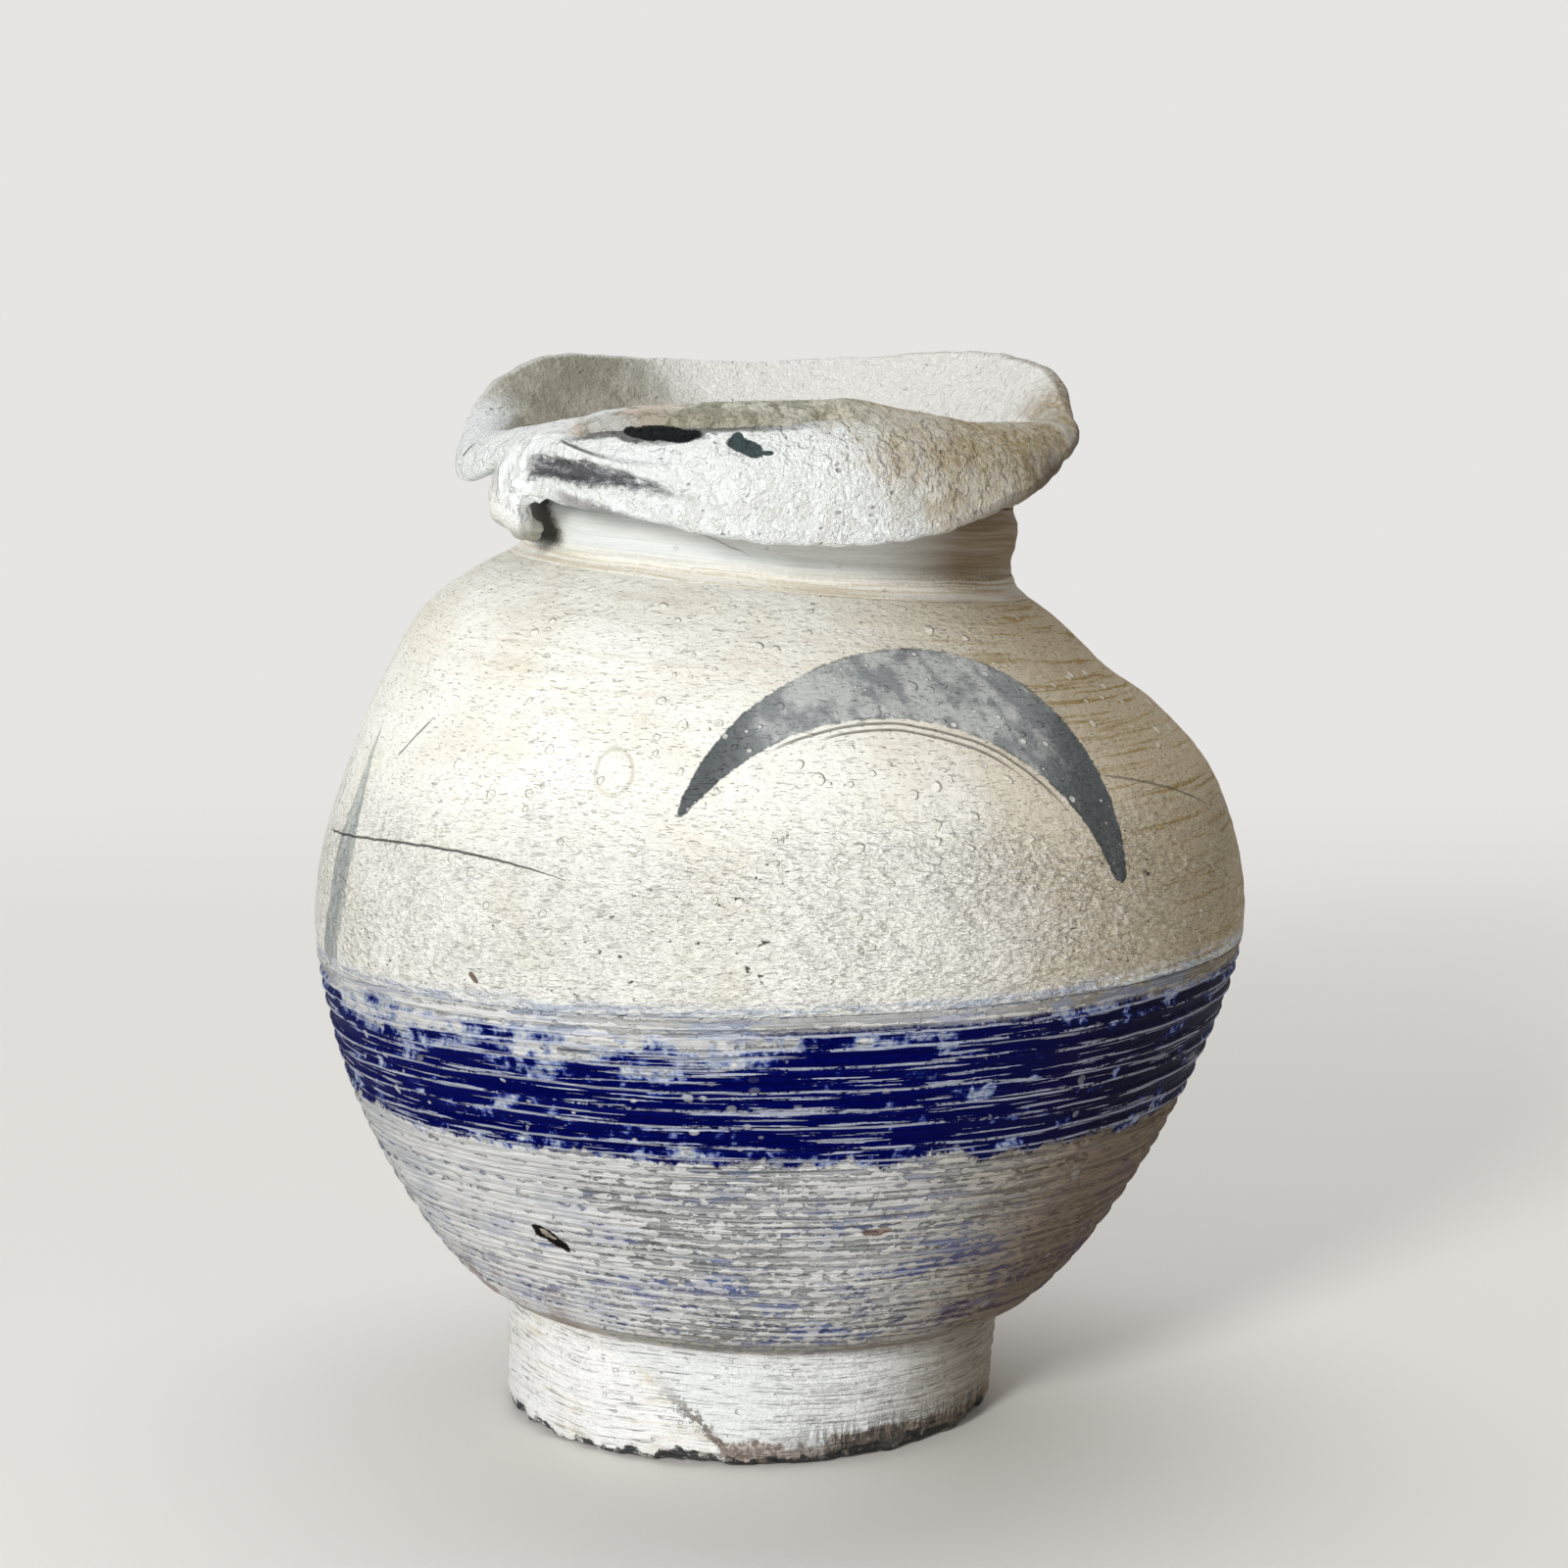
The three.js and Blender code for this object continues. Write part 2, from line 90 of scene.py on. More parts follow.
def calc(operation, *values):
    tree = next(value.tree for value in values if isinstance(value, field))
    return made(tree, "ShaderNodeMath", dict(enumerate(values)), operation=operation)


def ramp(value, low, high, start=0.0, end=1.0):  # smooth step from start to end
    return made(value.tree, "ShaderNodeMapRange", {"Value": value, 1: low, 2: high, 3: start, 4: end},
                interpolation_type="SMOOTHSTEP")


def fall(value, low, high):  # smooth step from 1 down to 0
    return 1.0 - ramp(value, low, high)


def near(value, low, high):  # 1 within low of zero, 0 further than high from it
    return fall(calc("ABSOLUTE", value), low, high)


def plateau(value, low, lowEnd, high, highEnd):  # 1 from lowEnd to high, 0 before low and past highEnd
    return ramp(value, low, lowEnd) * fall(value, high, highEnd)


def vectorOf(x, y, z):
    tree = next(value.tree for value in (x, y, z) if isinstance(value, field))
    return made(tree, "ShaderNodeCombineXYZ", {0: x, 1: y, 2: z})


def parts(vector):
    node = addNode(vector.tree, "ShaderNodeSeparateXYZ", {0: vector})
    return [field(output) for output in node.outputs[:3]]


def vectorMath(operation, vector, other, slot=1):
    return made(vector.tree, "ShaderNodeVectorMath", {0: vector, slot: other}, operation=operation)


def stretch(vector, x, y, z):
    return vectorMath("MULTIPLY", vector, (x, y, z))


def moved(vector, x, y, z):
    return vectorMath("ADD", vector, (x, y, z))


def noise(vector, scale, detail=2.0, roughness=0.5, output=0):
    return made(vector.tree, "ShaderNodeTexNoise",
                {"Vector": vector, "Scale": scale, "Detail": detail, "Roughness": roughness}, output)


def dots(vector, scale, fill):  # round specks of uneven size, in only some of the cells
    node = addNode(vector.tree, "ShaderNodeTexVoronoi", {"Vector": vector, "Scale": scale})
    chance = addNode(vector.tree, "ShaderNodeSeparateColor", {0: field(node.outputs["Color"])})
    size = field(chance.outputs[0]) * field(chance.outputs[0]) * 0.3 + 0.07
    kept = calc("LESS_THAN", field(chance.outputs[1]), fill)
    return fall(field(node.outputs["Distance"]) / size, 0.7, 1.1) * kept


def mix(under, over, mask):
    return made(mask.tree, "ShaderNodeMix", {0: mask, 6: under, 7: over}, 2, data_type="RGBA")


def attribute(tree, name, output="Fac"):
    return made(tree, "ShaderNodeAttribute", None, output, attribute_name=name)


def numbers(*names):  # plain number sockets
    return dict.fromkeys(names, "Float")


def newTree(kind, name, inputs, outputs):  # each socket by its type or, for an input, its starting value
    tree = bpy.data.node_groups.new(name, kind)
    words = {float: "Float", int: "Int", tuple: "Color"}
    for side, sockets in (("INPUT", inputs), ("OUTPUT", outputs)):
        for label, value in sockets.items():
            word = words.get(type(value), value)
            socket = tree.interface.new_socket(name=label, in_out=side, socket_type=f"NodeSocket{word}")
            if word != value:
                socket.default_value = value
    start, end = tree.nodes.new("NodeGroupInput"), tree.nodes.new("NodeGroupOutput")
    return {socket.name: field(socket) for socket in start.outputs if socket.name}, end


def connect(value, socket):
    value.tree.links.new(value.socket, socket)


def giveOut(end, *values):  # links what a group hands on, and gives back its tree
    for value, socket in zip(values, end.inputs):
        connect(value, socket)
    return end.id_data


def useGroup(tree, group, inputs):
    node = addNode(tree, "ShaderNodeGroup", inputs, node_tree=group)
    return {socket.name: field(socket) for socket in node.outputs}


def paint(code):  # a colour as written on screen, made linear
    shares = [int(code[i:i + 2], 16) / 255 for i in (1, 3, 5)]
    return tuple(c / 12.92 if c <= 0.04045 else ((c + 0.055) / 1.055) ** 2.4 for c in shares) + (1,)


def painted(codes):  # a dictionary of colours, made linear
    return {name: paint(code) for name, code in codes.items()}


# shared sizes, in millimetres

vase = {
    "wall": 6.0,
    "gap": 0.3,
    "footHeight": 31.5,
    "seat": 31.8,
    "seam": 131.0,
    "shoulder": 231.0,
    "neckBase": 231.3,
    "neckTop": 250.0,
    "neckBore": 59.8,
    "tongueRise": 4.0,
    "tongueThickness": 2.7,
    # height, shift along X, tip in degrees
    "lean": [(0, -8.9, 0), (31.8, -7.6, 2), (80.65, -4.6, 0.9), (131, -0.2, -1), (170.5, -1.1, -1),
             (199.4, -3, 2.2), (215.2, -4.2, 5.2), (231.3, -3, 5.2), (250, -3, 2.2), (264, -3, 0)],
    # four control points of each half of the belly: radius, height
    "bowlPath": [(69.7, 31.8), (90.3, 34.7), (127.2, 103.6), (127.2, 138)],
    "domePath": [(127.2, 138), (127.2, 177), (95.5, 218.6), (67.5, 231)],
    "rawClay": {"dark": "#8b7f70", "pale": "#a59a8a"},
}


def stationValues(stations, column, at, period=0.0):  # smooth and never past its stations
    x = np.array([row[0] for row in stations], float)
    y = np.array([row[column] for row in stations], float)
    if period:
        x = np.concatenate([x[-2:] - period, x, x[:2] + period])
        y = np.concatenate([y[-2:], y, y[:2]])
        at = (at - stations[0][0]) % period + stations[0][0]
    run, side = np.diff(x), np.diff(y) / np.diff(x)
    slope = np.zeros(len(x))
    left, right = side[:-1], side[1:]
    both = left * right > 0
    slope[1:-1][both] = 2 * left[both] * right[both] / (left[both] + right[both])
    place = np.clip(np.searchsorted(x, at, side="right") - 1, 0, len(x) - 2)
    t = np.clip((at - x[place]) / run[place], 0, 1)
    span = run[place]
    return ((2 * t**3 - 3 * t**2 + 1) * y[place] + (t**3 - 2 * t**2 + t) * span * slope[place]
            + (3 * t**2 - 2 * t**3) * y[place + 1] + (t**3 - t**2) * span * slope[place + 1])


def leaned(points):  # an upright pot's points, moved to where the leaning pot has them
    tip = np.radians(stationValues(vase["lean"], 2, points[:, 2]))
    shift = stationValues(vase["lean"], 1, points[:, 2])
    return np.column_stack([points[:, 0] + shift, points[:, 1], points[:, 2] - points[:, 0] * np.tan(tip)])


def smoothstep(low, high, value):
    t = np.clip((value - low) / (high - low), 0, 1)
    return t * t * (3 - 2 * t)


def bezier(a, b, c, d, count):
    t = np.linspace(0, 1, count)[:, None]
    a, b, c, d = (np.array(p, float) for p in (a, b, c, d))
    return (1 - t)**3 * a + 3 * (1 - t)**2 * t * b + 3 * (1 - t) * t**2 * c + t**3 * d


def spaced(points, step):  # the same path with a point every step or so
    points = np.array(points, float)
    lengths = np.concatenate([[0], np.cumsum(np.hypot(*np.diff(points, axis=0).T))])
    count = max(2, int(round(lengths[-1] / step)) + 1)
    at = np.linspace(0, lengths[-1], count)
    return np.column_stack([np.interp(at, lengths, points[:, i]) for i in range(2)])


def walled(curve, depth):  # a curve moved inwards along its normal
    tangent = np.gradient(curve, axis=0)
    tangent /= np.hypot(*tangent.T)[:, None]
    return np.column_stack([curve[:, 0] - tangent[:, 1] * depth, curve[:, 1] + tangent[:, 0] * depth])


bowlCurve, domeCurve = bezier(*vase["bowlPath"], 400), bezier(*vase["domePath"], 400)
bellyCurve = np.concatenate([bowlCurve, domeCurve[1:]])


def between(curve, low, high):  # the stretch of a rising curve between two heights
    inside = curve[(curve[:, 1] > low) & (curve[:, 1] < high)]
    ends = [[np.interp(h, curve[:, 1], curve[:, 0]), h] for h in (low, high)]
    return np.concatenate([ends[:1], inside, ends[1:]])


# turned pieces: one tree throws them all


def fingerRings(rise, wheel, pitch, **settings):  # one cell for each groove, drifting a little in height
    drift = noise(stretch(wheel, 0.016, 0.016, 0.03), 1.0, 3.0, 0.6) * 5.0
    return addNode(rise.tree, "ShaderNodeTexVoronoi",
                   {"W": (rise + drift) / pitch, "Scale": 1.0, "Randomness": 1.0},
                   voronoi_dimensions="1D", **settings)


def ringDistance(rise, wheel, pitch):  # 0 on the crest between two finger grooves, 0.5 in the groove
    return field(fingerRings(rise, wheel, pitch, feature="DISTANCE_TO_EDGE").outputs["Distance"])


def ringRow(rise, wheel, pitch):  # a random number for each groove
    colour = field(fingerRings(rise, wheel, pitch).outputs["Color"])
    return made(rise.tree, "ShaderNodeSeparateColor", {0: colour})


def throwingTree():
    # turns an outline of (reach, height) about Z, then presses the finger grooves into its outside
    given, end = newTree("GeometryNodeTree", "throw on wheel", {
        "Outline": "Geometry", "Steps Round": 360, "Ring Pitch": 5.0, "Ring Depth": 0.6, "Ring Top": 130.0,
        "Ring Fade": 10.0, "Wobble": 0.8, "Peel": 0.1, "Seed": 0.0, "Clay": "Material",
    }, {"Pot": "Geometry"})
    tree = end.id_data
    tree.is_modifier = True
    outline = made(tree, "GeometryNodeMeshToCurve", {0: given["Outline"]})
    circle = made(tree, "GeometryNodeCurvePrimitiveCircle",
                  {"Resolution": given["Steps Round"], "Radius": 0.1})
    share = made(tree, "GeometryNodeSplineParameter", None, "Factor")
    marked = made(tree, "GeometryNodeStoreNamedAttribute", {0: circle, "Name": "turn", "Value": share},
                  data_type="FLOAT", domain="POINT")
    swept = made(tree, "GeometryNodeCurveToMesh", {0: marked, "Profile Curve": outline})
    turn, reach, rise, skin = (made(tree, "GeometryNodeInputNamedAttribute", {"Name": name})
                               for name in ("turn", "reach", "rise", "skin"))
    east, north = calc("COSINE", turn * math.tau), calc("SINE", turn * math.tau)
    wheel = vectorOf(east * 100, north * 100, rise)
    here = vectorMath("ADD", vectorOf(east * reach, north * reach, rise),
                      vectorOf(given["Seed"], given["Seed"] * 3.7, 0.0))
    depth = ramp(ringDistance(rise, wheel, given["Ring Pitch"]), 0.0, 0.3)
    uneven = 0.35 + noise(stretch(here, 0.02, 0.02, 0.2), 1.0) * 1.3
    fade = fall(rise, given["Ring Top"] - given["Ring Fade"], given["Ring Top"])
    sway = (noise(here, 1.0 / 70, 1.0) - 0.5) * given["Wobble"]
    grain = (noise(stretch(here, 1.0, 1.0, 1.6), 0.35, 3.0, 0.6) - 0.5) * given["Peel"]
    push = (sway + grain - depth * uneven * fade * given["Ring Depth"]) * skin
    out = (reach + push) * 0.001
    placed = made(tree, "GeometryNodeSetPosition",
                  {"Geometry": swept, "Position": vectorOf(east * out, north * out, rise * 0.001)})
    noted = made(tree, "GeometryNodeStoreNamedAttribute", {0: placed, "Name": "wheel", "Value": wheel},
                 data_type="FLOAT_VECTOR", domain="POINT")
    merged = made(tree, "GeometryNodeMergeByDistance", {0: noted, "Distance": 1e-6})
    return dressed(merged, given["Clay"], end)


def dressed(shape, clay, end):  # the last steps of both geometry trees
    real = made(shape.tree, "GeometryNodeRealizeInstances", {0: shape})
    return giveOut(end, made(shape.tree, "GeometryNodeSetMaterial", {0: real, "Material": clay}))


throwTree = throwingTree()


def applied(source, name):  # the evaluated modifiers as a plain mesh in a new object
    bpy.context.view_layer.update()
    graph = bpy.context.evaluated_depsgraph_get()
    mesh = bpy.data.meshes.new_from_object(source.evaluated_get(graph))
    mesh.name = name
    bpy.data.objects.remove(source)
    piece = bpy.data.objects.new(name, mesh)
    bpy.context.scene.collection.objects.link(piece)
    return piece


def runTree(source, tree, values, material, name):  # sends an object through a geometry tree
    modifier = source.modifiers.new(tree.name, "NODES")
    modifier.node_group = tree
    for item in tree.interface.items_tree:
        if item.in_out == "INPUT" and item.name in values:
            modifier[item.identifier] = values[item.name]
        if item.name == "Clay":
            modifier[item.identifier] = material
    return applied(source, name)


def readPoints(mesh):
    points = np.zeros(len(mesh.vertices) * 3)
    mesh.vertices.foreach_get("co", points)
    return points.reshape(-1, 3) * 1000


def writePoints(mesh, points):
    mesh.vertices.foreach_set("co", (points * 0.001).ravel())
    mesh.update()


def readNormals(mesh):
    normals = np.zeros(len(mesh.vertices) * 3)
    mesh.vertex_normals.foreach_get("vector", normals)
    return normals.reshape(-1, 3)


def readNumbers(mesh, name, width=1):
    values = np.zeros(len(mesh.vertices) * width)
    mesh.attributes[name].data.foreach_get("vector" if width == 3 else "value", values)
    return values.reshape(-1, width) if width > 1 else values


def faceOutwards(mesh):
    # a closed shell with a negative volume is inside out
    mesh.calc_loop_triangles()
    corners = np.zeros(len(mesh.loop_triangles) * 3, np.int32)
    mesh.loop_triangles.foreach_get("vertices", corners)
    a, b, c = readPoints(mesh)[corners.reshape(-1, 3)].transpose(1, 0, 2)
    if np.einsum("ij,ij->i", a, np.cross(b, c)).sum() < 0:
        mesh.flip_normals()


def throwPiece(name, outline, skin, values, material):
    outline = np.array(outline, float)
    count = len(outline)
    mesh = bpy.data.meshes.new(name + " outline")
    points = np.column_stack([outline * 0.001, np.zeros(count)])
    mesh.from_pydata(points.tolist(), [(i, (i + 1) % count) for i in range(count)], [])
    for label, marked in (("reach", outline[:, 0]), ("rise", outline[:, 1]), ("skin", skin)):
        mesh.attributes.new(label, "FLOAT", "POINT").data.foreach_set("value", np.array(marked, np.float32))
    source = bpy.data.objects.new(name + " outline", mesh)
    bpy.context.scene.collection.objects.link(source)
    return runTree(source, throwTree, values, material, name)


def finishPiece(piece, node):
    # leans the piece with the pot, turns its faces outwards and hands it to the frame
    mesh = piece.data
    writePoints(mesh, leaned(readPoints(mesh)))
    for label in ("turn", "reach", "rise"):
        if label in mesh.attributes:
            mesh.attributes.remove(mesh.attributes[label])
    faceOutwards(mesh)
    mesh.polygons.foreach_set("use_smooth", np.ones(len(mesh.polygons), bool))
    mesh.update()
    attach(piece, "root")
    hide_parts(node)
    print(f"pottery vase: {node} made, {len(mesh.polygons)} faces")
    return piece


def joined(*runs):  # (points, skin) runs joined into one outline
    points = np.concatenate([np.array(run, float).reshape(-1, 2) for run, _ in runs])
    skin = np.concatenate([np.full(len(np.array(run).reshape(-1, 2)), float(value)) for run, value in runs])
    keep = np.ones(len(points), bool)
    keep[1:] = np.hypot(*np.diff(points, axis=0).T) > 1e-4
    return points[keep], skin[keep]


def wheelPlaces(mesh):  # how far round and how high each point was on the wheel
    wheel = readNumbers(mesh, "wheel", 3)
    turn = np.degrees(np.arctan2(wheel[:, 1], wheel[:, 0])) % 360
    return turn, wheel[:, 2]


def spot(turn, rise, at, half, slant=0.0, radius=100.0, power=2.0):
    # 1 inside an oval on the pot's surface, 0 outside it, in mm round and up
    across = np.radians(turn - at[0]) * radius
    up = rise - at[1]
    c, s = math.cos(math.radians(slant)), math.sin(math.radians(slant))
    u, v = (across * c + up * s) / half[0], (up * c - across * s) / half[1]
    return np.clip(1.25 - np.abs(u)**power - np.abs(v)**power, 0, 1)


def waves(angle, terms, seed):
    # uneven but closed run round the pot, about -1 to 1
    rng = np.random.default_rng(seed)
    total = np.zeros_like(angle)
    for k in terms:
        total += rng.uniform(0.5, 1) * np.sin(np.radians(angle) * k + rng.uniform(0, math.tau))
    return total / len(terms) * 1.4


# shader groups


def potSpaceGroup():
    # where a point is on the upright pot: round in degrees, up in millimetres
    _, end = newTree("ShaderNodeTree", "pot space", {}, {"Wheel": "Vector", **numbers("Turn", "Rise")})
    wheel = attribute(end.id_data, "wheel", "Vector")
    x, y, z = parts(wheel)
    turn = calc("MODULO", calc("ARCTAN2", y, x) * math.degrees(1) + 360.0, 360.0)
    return giveOut(end, wheel, turn, z)


def clayGrainGroup():
    # sandy clay under slip: soft lumps, sand, torn pits and raised pale scales
    given, end = newTree("ShaderNodeTree", "clay grain",
                         {"Vector": "Vector", "Size": 2.0, "Pitting": 0.2, "Speckle": 0.3, "Sand": 0.5},
                         numbers("Height", "Pits", "Specks", "Drift", "Rough", "Lump"))
    here = vectorMath("SCALE", given["Vector"], 1000.0 / given["Size"], 3)
    lump = noise(here, 0.5, 2.0, 0.6)
    rough = noise(here, 1.3, 3.0, 0.65)
    drift = noise(here, 0.035, 3.0, 0.6)
    bent = vectorMath("ADD", here, noise(here, 0.9, output="Color"))
    pits = dots(stretch(bent, 1.0, 1.0, 1.5), 0.6, given["Pitting"])
    specks = dots(moved(bent, 5, 5, 5), 0.36, given["Speckle"])
    height = lump * 0.7 + ramp(rough, 0.35, 0.65) * given["Sand"] * 0.5 + specks * 0.4 - pits * 1.2
    return giveOut(end, height, pits, specks, drift, rough - 0.5, lump)


def wheelLinesGroup():
    # fine lines that run round the pot, from the brush and the ribs, and the finger grooves
    given, end = newTree("ShaderNodeTree", "wheel lines",
                         {"Wheel": "Vector", "Pitch": 5.0, "Fineness": 1.0},
                         numbers("Lines", "Scratches", "Ring", "Row"))
    wheel, fine = given["Wheel"], given["Fineness"]
    x, y, z = parts(wheel)
    level = z + (noise(stretch(wheel, 0.011, 0.011, 0.02), 1.0, 2.0) - 0.5) * 6
    lines = noise(vectorOf(x * 0.02, y * 0.02, level * fine), 1.0, 3.0, 0.6)
    scratches = ramp(noise(vectorOf(x * 0.05, y * 0.05, level * fine * 2.2), 1.0, 2.0, 0.7), 0.6, 0.72)
    return giveOut(end, lines, scratches, ringDistance(z, wheel, given["Pitch"]),
                   ringRow(z, wheel, given["Pitch"]))


def brushedArcGroup():
    # how deep a point lies inside a crescent between two circles, in millimetres
    names = ("Across", "Up", "Outer Across", "Outer Up", "Outer Radius",
             "Inner Across", "Inner Up", "Inner Radius")
    given, end = newTree("ShaderNodeTree", "brushed arc", dict.fromkeys(names, 0.0),
                         numbers("Inside", "From Inner"))

    def away(ring):
        across, up = given["Across"] - given[ring + " Across"], given["Up"] - given[ring + " Up"]
        return calc("SQRT", across * across + up * up)

    fromOuter = given["Outer Radius"] - away("Outer")
    fromInner = away("Inner") - given["Inner Radius"]
    return giveOut(end, calc("SMOOTH_MIN", fromOuter, fromInner, 1.5), fromInner)


def chipGroup():
    # a broken away patch with a torn outline
    given, end = newTree("ShaderNodeTree", "chip", {
        "Turn": 0.0, "Rise": 0.0, "At Turn": 0.0, "At Rise": 0.0, "Half Width": 1.0, "Half Height": 1.0,
        "Slant": 0.0, "Radius": 100.0, "Ragged": 0.3}, numbers("Mask"))
    across = (given["Turn"] - given["At Turn"]) * given["Radius"] * math.radians(1)
    up = given["Rise"] - given["At Rise"] - across * given["Slant"]
    place = vectorOf(across * 0.35, up * 0.35, given["At Turn"])
    torn = noise(place, 1.0, 0.0) * 1.4 + noise(place, 4.0, 3.0, 0.7) * 0.8 - 1.1
    u, v = across / given["Half Width"], up / given["Half Height"]
    away = calc("SQRT", u * u + v * v) + torn * given["Ragged"] * 2.0
    return giveOut(end, fall(away, 0.9, 1.06))


def crackGroup():
    # a fine crack along rise = level + slope t + bend t^2 + twist t^3, with t from its start to its end
    given, end = newTree("ShaderNodeTree", "crack", {
        "Turn": 0.0, "Rise": 0.0, "Start": 0.0, "End": 1.0, "Level": 0.0, "Slope": 0.0, "Bend": 0.0,
        "Twist": 0.0, "Width": 0.3}, numbers("Mask"))
    t = (given["Turn"] - given["Start"]) / (given["End"] - given["Start"])
    level = given["Level"] + t * (given["Slope"] + t * (given["Bend"] + t * given["Twist"]))
    wander = (noise(vectorOf(given["Turn"] * 0.35, 0.0, 0.0), 1.0, 3.0) - 0.5) * 1.2
    away = calc("ABSOLUTE", given["Rise"] - level - wander)
    taper = ramp(t, 0.0, 0.08) * (1.0 - ramp(t, 0.8, 1.0, 0.0, 0.75))
    inside = plateau(t, -0.002, 0.002, 0.998, 1.002)
    width = given["Width"] * taper + 0.02
    return giveOut(end, fall(away / width, 0.5, 1.3) * inside)


potSpace, clayGrain, wheelLines = potSpaceGroup(), clayGrainGroup(), wheelLinesGroup()
brushedArc, chip, crack = brushedArcGroup(), chipGroup(), crackGroup()


def startMaterial(name, grainSize, pitting, speckle, sand, pitch, fineness=1.0, gloss=0.1):
    # what every clay material begins with
    material = bpy.data.materials.new(name)
    material.use_nodes = True
    tree = material.node_tree
    here = made(tree, "ShaderNodeTexCoord", None, "Object")
    place = useGroup(tree, potSpace, {})
    grain = useGroup(tree, clayGrain, {"Vector": here, "Size": grainSize, "Pitting": pitting,
                                       "Speckle": speckle, "Sand": sand})
    lines = useGroup(tree, wheelLines, {"Wheel": place["Wheel"], "Pitch": pitch, "Fineness": fineness})
    tree.nodes["Principled BSDF"].inputs["Specular IOR Level"].default_value = gloss
    return tree, here, {**place, **grain, **lines, "material": material}


def markMask(tree, group, turn, rise, values):  # one chip or crack
    return useGroup(tree, group, {"Turn": turn, "Rise": rise, **values})["Mask"]


# marks the right side of the pot, where painted shade goes
def shadeRoundRight(turn, low, high, start=20, end=110):  # 1 round the right side of the pot
    return ramp(turn, low, high) + fall(turn, start, end)


def bareInside(tree, here, colour):
    # the slip stops at the mouth: raw clay inside the belly
    tones = painted(vase["rawClay"])
    bare = mix(tones["dark"], tones["pale"], noise(stretch(here, 30, 30, 260), 1.0, 3.0, 0.6))
    return mix(bare, colour, ramp(attribute(tree, "skin"), 0.0, 0.15))


def finishMaterial(f, colour, roughness, height, distance):
    shader = f["material"].node_tree.nodes["Principled BSDF"]
    bump = made(colour.tree, "ShaderNodeBump", {"Strength": 1.0, "Distance": distance, "Height": height})
    for name, value in (("Base Color", colour), ("Roughness", roughness), ("Normal", bump)):
        connect(value, shader.inputs[name])
    return f["material"]


# foot ring

footRing = {
    "bore": 55.4, "bottomRadius": 67.4, "topRadius": 68.4, "outerRounding": 3.0, "innerRounding": 1.5,
    "chipRadius": 67.0,
    "chips": [  # turn, half width and height in mm, depth
        (202, 4.5, 3.6, 1.4), (213, 6.5, 2.6, 1.3), (229, 5.0, 2.0, 0.9), (243, 3.5, 2.6, 0.8),
        (257, 9.5, 3.2, 1.7), (276, 5.0, 1.8, 0.7), (297, 8.0, 3.5, 1.0), (316, 10.0, 4.2, 1.2),
        (338, 9.0, 3.6, 1.4), (20, 8.0, 3.4, 1.2), (58, 5.0, 2.6, 1.1), (95, 8.0, 3.0, 1.4),
        (131, 5.0, 2.2, 1.0), (160, 7.0, 3.0, 1.2), (182, 4.5, 2.6, 1.1)],
    "throw": {"Steps Round": 600, "Ring Pitch": 3.4, "Ring Depth": 0.45, "Ring Top": 60.0, "Ring Fade": 4.0,
              "Wobble": 0.9, "Peel": 0.35, "Seed": 3.0},
    "tones": {"cream": "#e4dfd3", "white": "#fafbfa", "grey": "#a39e97", "slate": "#2b2f30",
              "coolCoat": "#f0f4f6", "edgeDark": "#6f645a", "edgePale": "#a59b90", "grooves": "#c3c5c4",
              "ribs": "#f4f7f8", "pinkDark": "#7f736b", "pinkPale": "#b5a9a1", "shadeUnderBowl": "#aba59a",
              "warm": "#776443", "scratch": "#7f7b75"},
}


